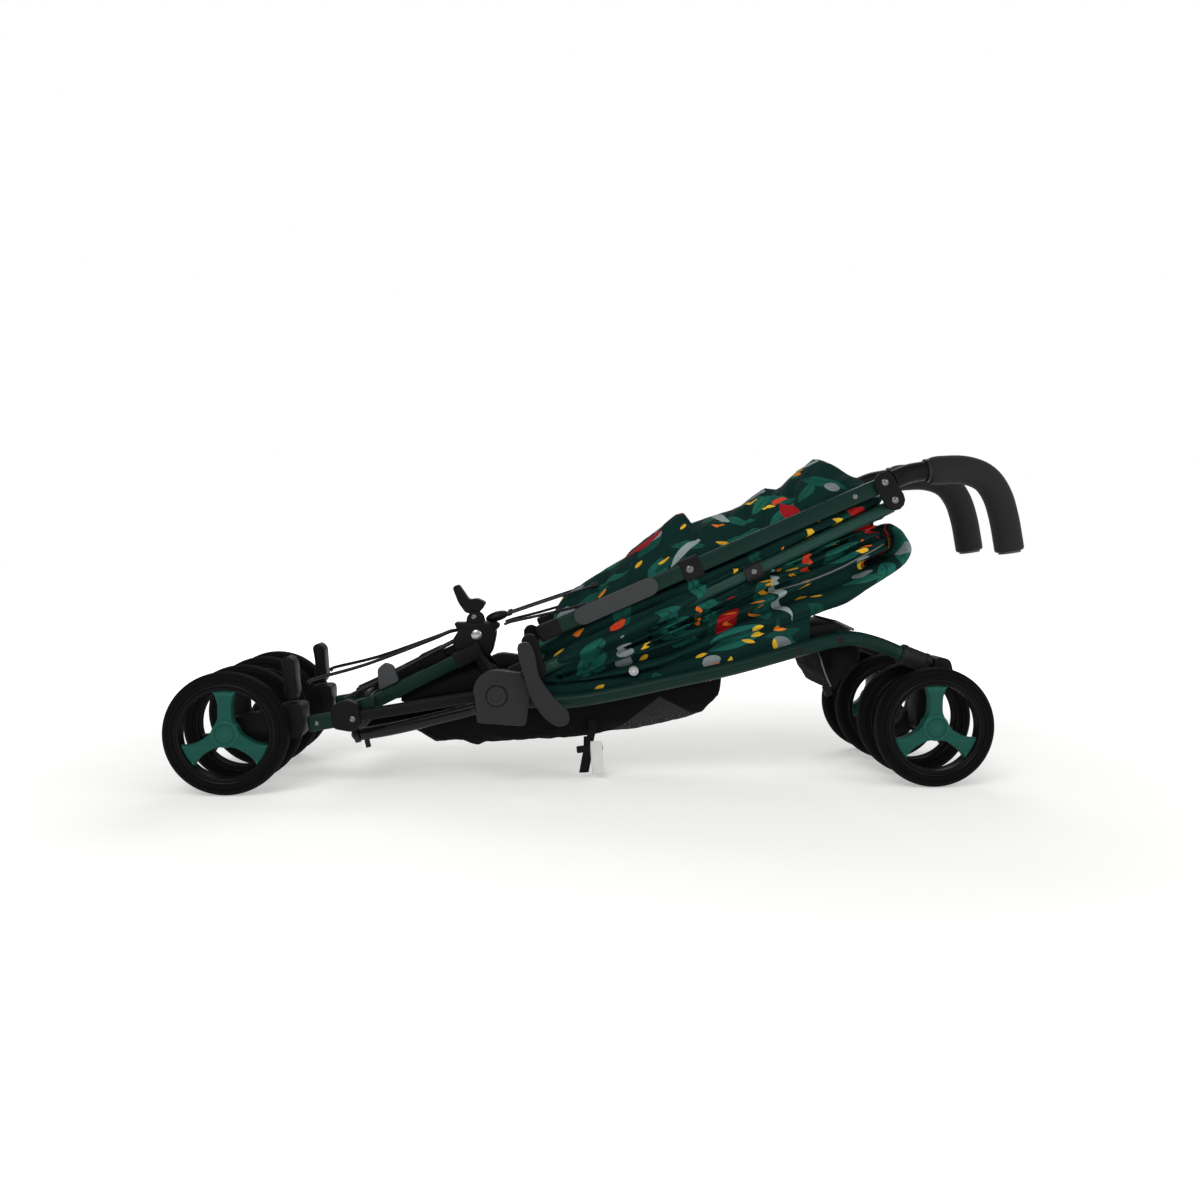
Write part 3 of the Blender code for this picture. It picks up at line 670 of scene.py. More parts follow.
# raised round boss, with a shallow ring and a flat middle
boss = [(0.0, 0.0016), (0.0105, 0.0016), (0.0112, 0.0010), (0.0122, 0.0010), (0.0129, 0.0019), (0.0150, 0.0017), (0.0163, 0.0006),
        (0.0166, -0.0030), (0.0, -0.0030)]
for end, hub in (("rear", REAR), ("front", FRONT)):
    for side, s in (("left", -1), ("right", 1)):
        for spot, k in (("outer", 1), ("inner", -1)):
            outer = k > 0
            n = f"{end}_{side}_{spot}"
            body = "wheel_" + n
            y = s * (TRACK + k * PAIR)
            face = s if outer else -s
            at = Vector((wx(hub[0]), y, hub[1]))
            t = obj("tyre_" + n + ".rubber", TYRE_ME, None)
            t.location = at
            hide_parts(*(["tyre_" + n] if outer else ["wheel_" + n]))
            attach(t, body)
            r = obj("rim_" + n, RIM_ME, None)
            r.location = at
            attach(r, body)
            p = obj("spokes_" + n + ".fine", SPOKE_ME[outer], None)
            p.location = at
            if outer:
                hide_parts("spokes_" + n)
            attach(p, body)
            b = obj("boss_" + n, lathe("boss_" + n, [(q, face * (h + 0.0075)) for q, h in boss], 48,
                                       SPOKE if outer else BLACK, closed=False), None)
            b.location = at
            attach(b, body)

# ------------------------------------------------------------ rigid pieces
done = set()
for side in ("left", "right"):
    for n, w in (("rear_carrier", 0.0028), ("brake_pedal", 0.0030), ("hinge_cover", 0.0022), ("caster_housing", 0.0030),
                 ("lower_link", 0.0018), ("tube_pad", 0.0016), ("top_link", 0.0016), ("cross_tube", 0.0016),
                 ("tube_joint", 0.0016), ("hinge_pin", 0.0010)):
        refine(f"{n}_{side}", w, **({"m": {"hinge_cover": PLATE, "hinge_pin": PLATE, "tube_pad": PADM}[n]}
                                    if n in ("hinge_cover", "hinge_pin", "tube_pad") else {}))
for n, w in (("fold_hub", 0.0030), ("fold_pedal", 0.0028), ("tongue_tab", 0.0022)):
    refine(n, w)
refine("catch_lever", 0.0024, m=PLATE)
refine("calf_board", 0.0020, m=BLACK)

PX, PZ = -0.0600, 0.1170
G0, G1 = Vector((-0.0257, 0, 0.1824)), Vector((0.4484, 0, 0.3877))
gd = (G1 - G0).normalized()
gn = Vector((-gd.z, 0, gd.x))
hd = Vector((0.4509 - PX, 0, 0.3546 - PZ)).normalized()
SW, SW0 = Vector((0.930, 0, -0.3675)).normalized(), Vector((0.4550, 0, 0.1650))
leg = [(-0.0405, 0.1085), (0.0287, 0.1065), (0.0900, 0.1160), (0.1510, 0.1285), (0.2420, 0.1480), (0.3360, 0.1735),
       (0.3700, 0.1815), (0.3950, 0.1840), (0.4250, 0.1770), (0.4550, 0.1650)]
handle = [(0.4500, 0.3885), (0.4800, 0.3965), (0.5130, 0.4005), (0.5450, 0.4005), (0.5720, 0.3905),
          (0.5890, 0.3690), (0.5990, 0.3400), (0.6055, 0.3080), (0.6075, 0.2960)]
for side, s in (("left", -1), ("right", 1)):
    out = s                       # outward direction along Y
    tube("front_leg_" + side + ".fine", [(x, s * TRACK, z) for x, z in leg], 0.0095, GREEN, "front_frame", 6, 7,
         ["front_leg_" + side])
    p0, p1 = Vector((PX, s * 0.0640, PZ)) + hd * 0.0085, Vector((0.4500, s * 0.0640, PZ + (0.4500 - PX) * hd.z / hd.x))
    tube("pusher_tube_" + side + ".fine", [tuple(p0), tuple(p1)], 0.0085, GREEN, "pusher_frame", 1, 7,
         ["pusher_tube_" + side])
    kn = outline("pusher_knuckle_" + side, [circle(PX, PZ, 0.0120, 40), circle(PX, PZ, 0.0044, 24)],
                 s * 0.0650 - 0.0080, s * 0.0650 + 0.0080, BLACK, 0.0012)
    kn.location.x += S
    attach(kn, "pusher_frame")
    yv = Vector((0, s * 0.0780, 0))
    u = bar("upper_tube_" + side + ".fine", tuple(G0 + gd * 0.0200 + yv), tuple(G0 + gd * 0.5150 + yv), 0.0140, 0.0200,
            GREEN, "pusher_frame", 0.0034, 5)
    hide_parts("upper_tube_" + side)
    v = Vector((-0.300 - PX, 0, 0.0795 - PZ)).normalized()
    a = (PX + v.x * 0.0090, s * TRACK, PZ + v.z * 0.0090)
    b_ = Vector(a).lerp(Vector((-0.2962, s * TRACK, 0.0800)), 0.80)
    # the leg from the hinge down to its bracket lies in shade and gets the black material instead of the green paint:
    # painted shade
    bar("rear_leg_front_" + side, a, tuple(b_), 0.0130, 0.0150, BLACK, "rear_frame", 0.0050, 5)
    u = bar("rear_leg_" + side + ".fine", tuple(b_), (-0.2962, s * TRACK, 0.0800), 0.0150, 0.0200, GREEN, "rear_frame", 0.0034, 5)
    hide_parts("rear_leg_" + side)
    kn = outline("rear_knuckle_" + side, [circle(PX, PZ, 0.0125, 40), circle(PX, PZ, 0.0044, 24)],
                 s * TRACK - 0.0085, s * TRACK + 0.0085, BLACK, 0.0012)
    kn.location.x += S
    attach(kn, "rear_frame")
    # sleeve at the leg's end, with a collar
    q = [SW0 + SW * t + Vector((0, s * TRACK, 0)) for t in (0.0005, 0.0400)]
    tube("leg_sleeve_" + side + ".fine", [tuple(q[0]), tuple(q[1])], 0.0125, BLACK, "front_frame", 1, 8,
         ["leg_sleeve_" + side])
    for t in (0.0030, 0.0340):
        c = SW0 + SW * t + Vector((0, s * TRACK, 0))
        tube(f"sleeve_collar_{side}_{int(t * 1e4)}", [tuple(c), tuple(c + SW * 0.0035)], 0.0133, SATIN, "front_frame", 1, 8)
    # grip: foam with a gentle swell at both ends, over the core tube's open end
    pts = [p for p in crom([(x, 0, z) for x, z in handle], 6) if p[0] > 0.4950]
    pts = [(x, s * (0.0730 if x < 0.50 else 0.0730 - min(0.008, (x - 0.50) * 0.08)), z) for x, _, z in pts]
    tube("handle_grip_" + side + ".fine", pts, 0.0185, FOAM, "pusher_frame", 1, 10, ["handle_grip_" + side],
         lambda t: 1.0 - 0.10 * max(0.0, 1 - t / 0.05) ** 2 - 0.10 * max(0.0, 1 - (1 - t) / 0.045) ** 2)
    d = (Vector(pts[-1]) - Vector(pts[-3])).normalized()
    e = Vector(pts[-1])
    tube("grip_ring_" + side, [tuple(e - d * 0.001), tuple(e + d * 0.0028)], 0.0140, GREY, "pusher_frame", 1, 9)
    # dark disc in the ring's open end: painted shade of the hollow inside the tube
    tube("grip_bore_" + side, [tuple(e + d * 0.0026), tuple(e + d * 0.0030)], 0.0105, SATIN, "pusher_frame", 1, 9)
    hs = [tuple(G0 + gd * 0.5165 + yv), tuple(G0 + gd * 0.5250 + yv), (0.4700, s * 0.0760, 0.3960), (0.4930, s * 0.0730, 0.4000)]
    tube("handle_sleeve_" + side + ".fine", hs, 0.0125, BLACK, "pusher_frame", 6, 8, ["handle_sleeve_" + side])
    tube("grip_collar_" + side, [(0.4905, s * 0.0732, 0.3996), (0.4960, s * 0.0730, 0.4003)], 0.0150, SATIN, "pusher_frame", 1, 9)
    # clamp of the hood on the round tube, with a screw
    c = Vector((PX, s * 0.0640, PZ)) + hd * 0.3500
    tube("hood_clamp_" + side, [tuple(c), tuple(c + hd * 0.0240)], 0.0118, BLACK, "pusher_frame", 1, 7)
    disc("clamp_screw_" + side, c.x + 0.0110, s * 0.0755, c.z + 0.0050, 0.0036, 0.0012, DSTEEL, "pusher_frame", out, 0.0006)
    # rivets and screws
    for i, (x, z, y, rr, body, mm) in enumerate((
            (0.4325, 0.3835, 0.0910, 0.0044, "pusher_frame", DSTEEL), (0.4460, 0.3610, 0.0910, 0.0044, "pusher_frame", DSTEEL),
            (0.1835, 0.2730, 0.0875, 0.0046, "pusher_frame", DSTEEL), (0.3960, 0.3655, 0.0850, 0.0034, "pusher_frame", DSTEEL),
            (0.3220, 0.1695, 0.0972, 0.0042, "front_frame", SATIN), (0.3760, 0.1828, 0.0972, 0.0046, "front_frame", SATIN),
            (-0.2850, 0.0815, 0.0958, 0.0030, "rear_frame", DSTEEL))):
        disc(f"rivet_{side}_{i}", x, s * y, z, rr, 0.0010, mm, body, out, 0.0009)
    # ring on the hinge's round head
    me = lathe(f"pin_ring_{side}", [(0.0080, out * 0.0), (0.0084, out * 0.0009), (0.0100, out * 0.0009), (0.0104, 0.0)], 40, PLATE,
               closed=False)
    o = obj(f"pin_ring_{side}", me, None)
    o.location = (wx(PX), s * 0.1194, PZ)
    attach(o, "front_frame")

tube("front_crossbar.fine", [(0.2950, -TRACK + 0.0099, 0.1618), (0.2950, TRACK - 0.0099, 0.1618)], 0.0060, PAINTB, "front_frame",
     1, 7, ["front_crossbar"])
hoop = [(-0.0900, -0.0600, 0.0925), (-0.1300, -0.0600, 0.0830), (-0.1900, -0.0600, 0.0690), (-0.2350, -0.0570, 0.0610),
        (-0.2440, -0.0400, 0.0590), (-0.2450, 0.0, 0.0588)]
hoop += [(x, -y, z) for x, y, z in reversed(hoop[:-1])]
tube("basket_hoop.fine", hoop, 0.0080, PAINTB, "rear_frame", 6, 7, ["basket_hoop"])
wire = [(-0.2975, -0.0700, 0.1280), (-0.2950, -0.0680, 0.1330), (-0.2300, -0.0480, 0.1500), (-0.1500, -0.0230, 0.1790),
        (-0.1280, -0.0100, 0.1880), (-0.1170, 0.0, 0.1900)]
wire += [(x, -y, z) for x, y, z in reversed(wire[:-1])]
tube("brake_wire.fine", wire, 0.0022, PAINTB, "rear_frame", 4, 5, ["brake_wire"])

# ------------------------------------------------------------- soft pieces
def poly(points, x):
    """Height of a broken line at x."""
    if x <= points[0][0]:
        return points[0][1]
    for (xa, za), (xb, zb) in zip(points, points[1:]):
        if x <= xb:
            return za + (zb - za) * (x - xa) / (xb - xa)
    return points[-1][1]


def zh(x):
    """Middle of the round pusher tube."""
    return PZ + (x - PX) * hd.z / hd.x


def zg(x):
    """Middle of the flat upper tube."""
    return G0.z + (x - G0.x) * gd.z / gd.x


def nz(x, y, z, seed):
    return noise.noise(Vector((x + 17.3 * seed, y - 9.1 * seed, z + 4.7 * seed)))


def slab(bm, path, seed, ring=56, per=14, flat=2.6, wave=0.0035):
    """One folded layer, swept along (x, z, thickness, half width left, half width right), with uneven edges."""
    pts = crom([(p[0], p[1], 0) for p in path], per)
    n = len(pts)
    rows = []
    for i, p in enumerate(pts):
        t = i / (n - 1) * (len(path) - 1)
        k = min(int(t), len(path) - 2)
        f = t - k
        f = f * f * (3 - 2 * f)
        h, wl, wr = (path[k][j] * (1 - f) + path[k + 1][j] * f for j in (2, 3, 4))
        q0, q1 = Vector(pts[max(0, i - 1)]), Vector(pts[min(n - 1, i + 1)])
        d = (q1 - q0).normalized()
        nx, nzz = -d.y, d.x
        e = min(1.0, (i + 0.25) / 3.0, (n - 1 - i + 0.25) / 3.0)
        cap = math.sqrt(max(0.05, 1 - (1 - e) ** 2))
        row = []
        for j in range(ring):
            a = 2 * math.pi * j / ring
            c, s = math.cos(a), math.sin(a)
            u = math.copysign(abs(c) ** (2 / flat), c)
            v = math.copysign(abs(s) ** (2 / 2.2), s)
            w = (wl if u < 0 else wr) + wave * nz(p[0] * 11, 0, u * 0.7, seed) + wave * 0.5 * nz(p[0] * 30, 2, u, seed)
            y = u * w * (0.94 + 0.06 * cap)
            off = v * h / 2 * cap + 0.0030 * nz(p[0] * 9, y * 14, 0, seed + 3) + 0.0014 * nz(p[0] * 26, y * 30, 1, seed + 5)
            row.append(bm.verts.new((wx(p[0] + nx * off), y, p[1] + nzz * off)))
        rows.append(row)
    for r0, r1 in zip(rows, rows[1:]):
        for j in range(ring):
            m = (j + 1) % ring
            bm.faces.new((r0[j], r0[m], r1[m], r1[j]))
    bm.faces.new(list(reversed(rows[0])))
    bm.faces.new(rows[-1])


def fused(name, bm, m, voxel):
    """One closed skin over the overlapping layers."""
    bmesh.ops.recalc_face_normals(bm, faces=bm.faces)
    me = bpy.data.meshes.new(name)
    bm.to_mesh(me)
    bm.free()
    o = obj(name, me, m)
    r = o.modifiers.new("skin", "REMESH")
    r.mode = "VOXEL"
    r.voxel_size = voxel
    r.use_smooth_shade = True
    o = bake(o)
    bm2 = bmesh.new()
    bm2.from_mesh(o.data)
    bmesh.ops.smooth_vert(bm2, verts=bm2.verts, factor=0.5, use_axis_x=True, use_axis_y=True, use_axis_z=True)
    # keep only the outer skin, if a hollow was left inside
    bm2.verts.ensure_lookup_table()
    left, best = set(bm2.verts), []
    while left:
        stack, part = [left.pop()], []
        while stack:
            v = stack.pop()
            part.append(v)
            for e in v.link_edges:
                w = e.other_vert(v)
                if w in left:
                    left.discard(w)
                    stack.append(w)
        if len(part) > len(best):
            if best:
                bmesh.ops.delete(bm2, geom=best, context="VERTS")
            best = part
        else:
            bmesh.ops.delete(bm2, geom=part, context="VERTS")
    bm2.to_mesh(o.data)
    bm2.free()
    return o


def settle(o, pressure, shrink, cap, frames=16, stiff=12, seed=1):
    """Lets the skin wrinkle, and keeps each point within cap of where it was."""
    start = [v.co.copy() for v in o.data.vertices]
    c = o.modifiers.new("cloth", "CLOTH")
    s = c.settings
    s.quality = 5
    s.mass = 0.15
    s.tension_stiffness = s.compression_stiffness = stiff
    s.shear_stiffness = stiff * 0.5
    s.bending_stiffness = 0.35
    s.use_pressure = True
    s.uniform_pressure_force = pressure
    s.shrink_min = s.shrink_max = shrink
    s.effector_weights.gravity = 0
    c.collision_settings.use_collision = False
    c.collision_settings.use_self_collision = False
    c.point_cache.frame_start, c.point_cache.frame_end = 1, frames
    for f in range(1, frames + 1):
        scene.frame_set(f)
    me = evaluated(o)
    ends = [v.co.copy() for v in me.vertices]
    o.modifiers.clear()
    scene.frame_set(1)
    for v, a, b in zip(o.data.vertices, start, ends):
        d = b - a
        v.co = a + (d * (cap / d.length) if d.length > cap else d)
    bpy.data.meshes.remove(me)
    return o


def finer(o, levels=1):
    m = o.modifiers.new("fine", "SUBSURF")
    m.levels = m.render_levels = levels
    o = bake(o)
    o.data.shade_smooth()
    return o


LOW = [(-0.010, 0.1210), (0.020, 0.1180), (0.050, 0.1175), (0.130, 0.1310), (0.190, 0.1480), (0.250, 0.1740), (0.350, 0.2090), (0.400, 0.2290), (0.460, 0.2560)]


def between(x, f):
    """Height at share f from the bundle's underside to the underside of the round tube."""
    a, b = poly(LOW, x), zh(x) - 0.0095
    return a + (b - a) * f


def layer(xs, f0, f1, wl, wr=None, k=1.0, seed=0):
    """Path rows for a layer between shares f0 and f1, which drift a little along the length."""
    out = []
    for i, x in enumerate(xs):
        g = 0.022 * math.sin(x * 23 + seed * 1.9) + 0.012 * math.sin(x * 51 + seed * 3.1)
        a, b = between(x, f0 + g * (f0 > 0)), between(x, f1 + g * (f1 < 1))
        w = wl[i] if isinstance(wl, (list, tuple)) else wl + 0.0018 * math.sin(x * 37 + seed * 2.3)
        r = wr[i] if isinstance(wr, (list, tuple)) else (w if wr is None else wr)
        out.append((x, (a + b) / 2, (b - a) * k, w, r))
    return out


bm = bmesh.new()
xs = [-0.004, 0.030, 0.065, 0.100, 0.140, 0.180, 0.220, 0.260, 0.300, 0.340, 0.375]
# core that ties the layers together
slab(bm, layer(xs, 0.06, 1.0, 0.0530) + [(0.415, 0.2950, 0.046, 0.0480, 0.0480)], 9, wave=0.0)
slab(bm, layer(xs, 0.0, 0.200, 0.0690, seed=1, k=0.86), 10, flat=2.0)
# broad layer, curled up round the ends of the others
low = layer(xs, 0.16, 0.42, [0.060, 0.0690, 0.0730, 0.0755, 0.0765, 0.0750, 0.0760, 0.0765, 0.0750, 0.0740, 0.0730], seed=1, k=0.90)
low = [(x, z - (0.010 * max(0.0, (x - 0.20) / 0.175)), h + 0.018 * max(0.0, (x - 0.20) / 0.175), a, b) for x, z, h, a, b in low]
low += [(0.420, 0.2590, 0.0300, 0.0700, 0.0700), (0.452, 0.2745, 0.0250, 0.0680, 0.0660), (0.4705, 0.2930, 0.0200, 0.0640, 0.0640),
        (0.4645, 0.3140, 0.0160, 0.0570, 0.0600), (0.4480, 0.3280, 0.0130, 0.0530, 0.0560)]
slab(bm, low, 1, flat=2.3)
for f0, f1, w, sd, ends in (
        (0.46, 0.635, 0.0755, 3, [(0.415, 0.2880, 0.0150, 0.0680, 0.0670), (0.4460, 0.3010, 0.0110, 0.0620, 0.0610)]),
        (0.635, 0.765, 0.0675, 4, [(0.415, 0.3000, 0.0130, 0.0640, 0.0640), (0.4420, 0.3110, 0.0100, 0.0600, 0.0590)]),
        (0.765, 0.895, 0.0740, 5, [(0.415, 0.3120, 0.0120, 0.0650, 0.0650), (0.4360, 0.3200, 0.0100, 0.0600, 0.0590)]),
        (0.895, 1.0, 0.0670, 6, [(0.410, 0.3200, 0.0100, 0.0600, 0.0600), (0.4300, 0.3290, 0.0080, 0.0560, 0.0560)])):
    slab(bm, layer(xs, f0, f1, w, seed=sd, k=0.84) + ends, sd, flat=1.9, wave=0.0040)
# behind the round tubes, and between them and the flat ones
slab(bm, [(x, zh(x), 0.0280, 0.0530, 0.0530) for x in (0.010, 0.120, 0.200, 0.280, 0.360, 0.410, 0.4440)], 5, wave=0.0010)
slab(bm, [(x, (zh(x) + zg(x)) / 2 + 0.0010, 0.0250, w, w) for x, w in
          ((-0.004, 0.0580), (0.035, 0.0660), (0.090, 0.0680), (0.150, 0.0650), (0.210, 0.0690), (0.270, 0.0660), (0.330, 0.0690), (0.395, 0.0650),
           (0.4380, 0.0580))], 6, flat=2.2)
slab(bm, [(x, zh(x) + 0.0125, 0.0110, w, w) for x, w in
          ((0.000, 0.0560), (0.040, 0.0700), (0.090, 0.0720), (0.150, 0.0700), (0.230, 0.0720), (0.300, 0.0640), (0.380, 0.0660), (0.4340, 0.0570))], 8,
     flat=2.1, wave=0.0020)
# fold that wraps the round tube's lower half
slab(bm, [(0.006, zh(0.006), 0.0200, 0.0660, 0.0660), (0.030, zh(0.030), 0.0250, 0.0760, 0.0760), (0.060, zh(0.060), 0.0270, 0.0785, 0.0785), (0.110, zh(0.110), 0.0290, 0.0800, 0.0800),
          (0.160, zh(0.160), 0.0280, 0.0795, 0.0795), (0.196, zh(0.196) + 0.001, 0.0240, 0.0770, 0.0770),
          (0.214, zh(0.214) + 0.002, 0.0180, 0.0660, 0.0660)], 12, flat=2.2, wave=0.0015)
# small pouch that sags under the bottom layer
slab(bm, [(0.168, 0.1470, 0.0120, 0.0600, 0.0500), (0.190, 0.1340, 0.0240, 0.0660, 0.0540), (0.212, 0.1340, 0.0300, 0.0680, 0.0540),
          (0.238, 0.1520, 0.0180, 0.0640, 0.0520)], 7, ring=40, wave=0.0015)
seat = fused("seat_folded", bm, PRINT, 0.0025)
seat = settle(seat, 0.4, -0.10, 0.0035, 12)
seat.data.shade_smooth()
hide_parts("seat_fabric")
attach(seat, "pusher_frame")


LEGZ = [(x, z) for x, z in leg]
SQ = [seat]
for s_, n_ in ((-1, "left"), (1, "right")):
    bm = bmesh.new()
    rows, nx_, ny_ = [], 200, 22
    for i in range(nx_ + 1):
        x = -0.0040 + (0.3430 + 0.0040) * i / nx_
        zt, zb = poly(LOW, x) + 0.0100, poly(LEGZ, x) + 0.0040
        zb = min(zb, zt - 0.004)
        row = []
        for j in range(ny_ + 1):
            f = j / ny_
            t0 = 0.0560 + 0.0100 * min(1.0, (x + 0.004) / 0.05)
            w = t0 + (0.0740 - t0) * math.sin(min(1.0, f * 1.4) * math.pi / 2) + 0.0020 * nz(x * 30, f * 1.5, 0, 51) * min(1, f * 2)
            row.append(bm.verts.new((wx(x + 0.0020 * nz(f * 3, x * 4, 1, 52)), s_ * w, zt + (zb - zt) * f)))
        rows.append(row)
    for r0, r1 in zip(rows, rows[1:]):
        for j in range(ny_):
            bm.faces.new((r0[j], r1[j], r1[j + 1], r0[j + 1]))
    me = bpy.data.meshes.new("seat_side_" + n_)
    bm.to_mesh(me)
    bm.free()
    o = obj("seat_side_" + n_, me, PRINT)
    m = o.modifiers.new("cloth_thickness", "SOLIDIFY")
    m.thickness, m.offset = 0.0012, 0
    o = bake(o)
    o.data.shade_smooth()
    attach(o, "pusher_frame")
    SQ.append(o)


def on_cloth(o, x, z, side=-1, lift=0.0):
    """Y of the cloth's outer face at (x, z) of the model frame, seen from one side."""
    hit, at, _, _ = o.ray_cast(Vector((wx(x), side * 0.5, z)), Vector((0, -side, 0)))
    return at.y + side * lift if hit else side * 0.0700


snap_y = {s_: on_cloth(seat, 0.1130, 0.1428, s_) for s_ in (-1, 1)}
seam = {s_: [(x, on_cloth(seat, x, z, s_, 0.0004), z) for x, z in
             [(0.300 + 0.144 * i / 24, 0.2445 + 0.0610 * i / 24 - 0.004 * math.sin(math.pi * i / 24)) for i in range(25)]] for s_ in (-1, 1)}
hem = {s_: [(x, on_cloth(seat, x, z, s_, 0.0003), z) for x, z in
            [(0.163 + 0.050 * i / 12, 0.1400 + 0.0190 * i / 12) for i in range(13)]] for s_ in (-1, 1)}

# ------------------------------------------------------------------- hood
PEAK = [(0.0100, 0.2080), (0.0270, 0.2350), (0.0500, 0.2480), (0.1100, 0.2890), (0.1740, 0.3440), (0.1840, 0.3470), (0.1960, 0.3330), (0.2300, 0.3440),
        (0.2660, 0.3540), (0.2820, 0.3670), (0.2960, 0.3790), (0.3120, 0.3780), (0.3180, 0.3820), (0.3420, 0.4060), (0.3640, 0.4200),
        (0.3940, 0.4080), (0.4230, 0.3930), (0.4330, 0.3860)]


def hood_sheet():
    nx, ny = 230, 96
    bm = bmesh.new()
    rows = []
    for i in range(nx + 1):
        t = i / nx
        x = 0.0120 + (0.4300 - 0.0120) * t
        row = []
        for j in range(ny + 1):
            v = -1 + 2 * j / ny
            a = abs(v)
            base = zg(x) - 0.0040
            # the cloth leans: its ridge line is further back near the peaks
            xs_ = x + 0.010 * (1 - a) * math.sin(x * 31) * 0.3
            z1 = poly(PEAK, xs_)
            rise = max(0.004, z1 - base)
            half = 0.0690 - 0.010 * max(0, 1 - (0.4330 - x) / 0.05) - 0.030 * max(0.0, 1 - (x - 0.0120) / 0.045) ** 1.4
            # the ridge wanders, with a flat crown that gets narrower at each peak
            f = 1 - max(0.0, (a - 0.16) / 0.84) ** 1.55
            # draped creases run down from the ridge and backwards
            s1 = x * 0.86 + a * rise * 0.9
            cre = 0.0085 * nz(s1 * 30, v * 1.1, 0, 11) + 0.0048 * nz(s1 * 68, v * 2.0, 3, 12) + 0.0020 * nz(s1 * 150, v * 4, 5, 13)
            cre -= 0.0050 * max(0.0, nz(s1 * 46, v * 1.4, 9, 14)) ** 0.6
            edge = min(1.0, (1 - a) / 0.16)
            k = math.sin(math.pi * min(1.0, a * 1.0)) * edge
            y = v * half + math.copysign(1, v) * (0.30 * cre) * k
            z = base + rise * f
            z += cre * (0.25 + 0.75 * min(1.0, a / 0.35)) * edge * min(1.0, rise / 0.03) * (0.35 + 0.65 * min(1.0, a * 2))
            row.append(bm.verts.new((wx(x), y, z)))
        rows.append(row)
    for r0, r1 in zip(rows, rows[1:]):
        for j in range(ny):
            bm.faces.new((r0[j], r1[j], r1[j + 1], r0[j + 1]))
    me = bpy.data.meshes.new("hood_folded")
    bm.to_mesh(me)
    bm.free()
    return me


def thick(o, t):
    m = o.modifiers.new("cloth_thickness", "SOLIDIFY")
    m.thickness = t
    m.offset = 0
    o = bake(o)
    o.data.shade_smooth()
    return o


hood = obj("hood_folded", hood_sheet(), PRINT)
hood = thick(hood, 0.0012)
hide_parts("hood_fabric")
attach(hood, "pusher_frame")

# ----------------------------------------------------------------- basket
B_LOW = [(-0.2380, 0.0560), (-0.2100, 0.0590), (-0.1720, 0.0640), (-0.1440, 0.0450), (-0.1200, 0.0465), (-0.1074, 0.0470), (-0.0980, 0.0430), (-0.0880, 0.0405),
         (-0.0790, 0.0445), (-0.0400, 0.0455), (0.0250, 0.0480), (0.0900, 0.0570), (0.1400, 0.0630), (0.1800, 0.0740), (0.2090, 0.0810),
         (0.2280, 0.1000), (0.2330, 0.1150)]
B_TOP = [(-0.2380, 0.0640), (-0.2100, 0.0720), (-0.1720, 0.0800), (-0.1300, 0.0860), (-0.0800, 0.0920), (-0.0300, 0.0960), (0.0200, 0.0985), (0.0900, 0.1080), (0.1500, 0.1200),
         (0.2000, 0.1290), (0.2330, 0.1340)]


def basket_sheet():
    nx, ny = 210, 84
    bm = bmesh.new()
    rows = []
    for i in range(nx + 1):
        x = -0.2370 + (0.2325 + 0.2370) * i / nx
        lo, hi = poly(B_LOW, x), poly(B_TOP, x)
        hi = max(hi, lo + 0.004)
        # width in the middle, less at both ends
        e = min(1.0, (x + 0.2370) / 0.03, (0.2325 - x) / 0.035)
        e = math.sqrt(max(0.0, 1 - (1 - e) ** 2))
        w = 0.0360 + 0.0170 * e - 0.0040 * min(1.0, max(0.0, (-0.09 - x) / 0.03))
        row = []
        for j in range(ny + 1):
            u = -1 + 2 * j / ny
            a = abs(u)
            # U-shaped: side walls, rounded corners, slack floor
            ang = a * math.pi / 2
            y = math.copysign(w * min(1.0, math.sin(ang) ** 0.48 if a > 0 else 0), u)
            z = lo + (hi - lo) * (1 - math.cos(ang) ** 0.38 if a < 1 else 1.0)
            s1 = x * 1.0 + z * 0.8
            cre = 0.0050 * nz(s1 * 22, u * 1.6, 0, 21) + 0.0026 * nz(s1 * 52, u * 3, 2, 22) + 0.0012 * nz(s1 * 120, u * 6, 4, 23)
            k = min(1.0, (1 - a) / 0.18)
            y -= math.copysign(1, u) * abs(cre) * 0.9 * k * min(1.0, a * 2.5)
            z += cre * 0.45 * k
            row.append(bm.verts.new((wx(x), y, z)))
        rows.append(row)
    for r0, r1 in zip(rows, rows[1:]):
        for j in range(ny):
            bm.faces.new((r0[j], r0[j + 1], r1[j + 1], r1[j]))
    me = bpy.data.meshes.new("basket_cloth")
    bm.to_mesh(me)
    bm.free()
    return me


bask = obj("basket_cloth", basket_sheet(), BASKET)
bask = thick(bask, 0.0012)
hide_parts("basket")
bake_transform(bask)

# ------------------------------------------------------------- calf panel
bm = bmesh.new()
slab(bm, [(0.3880, 0.1790, 0.060, 0.0650, 0.0650), (0.3880, 0.1620, 0.068, 0.0700, 0.0700), (0.3830, 0.1420, 0.052, 0.0690, 0.0690),
          (0.3750, 0.1240, 0.030, 0.0670, 0.0670), (0.3700, 0.1130, 0.014, 0.0640, 0.0640)], 31, flat=3.0, wave=0.0030)
slab(bm, [(0.3600, 0.1800, 0.012, 0.0680, 0.0680), (0.3570, 0.1600, 0.012, 0.0725, 0.0725), (0.3610, 0.1400, 0.011, 0.0725, 0.0725),
          (0.3680, 0.1220, 0.009, 0.0700, 0.0700), (0.3710, 0.1150, 0.007, 0.0680, 0.0680)], 32, flat=3.0, wave=0.0020)
calf = fused("calf_folded", bm, CLOTHB, 0.0030)
calf = settle(calf, 0.5, -0.08, 0.0030, 10)
calf = finer(calf)
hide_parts("calf_fabric")
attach(calf, "front_frame")
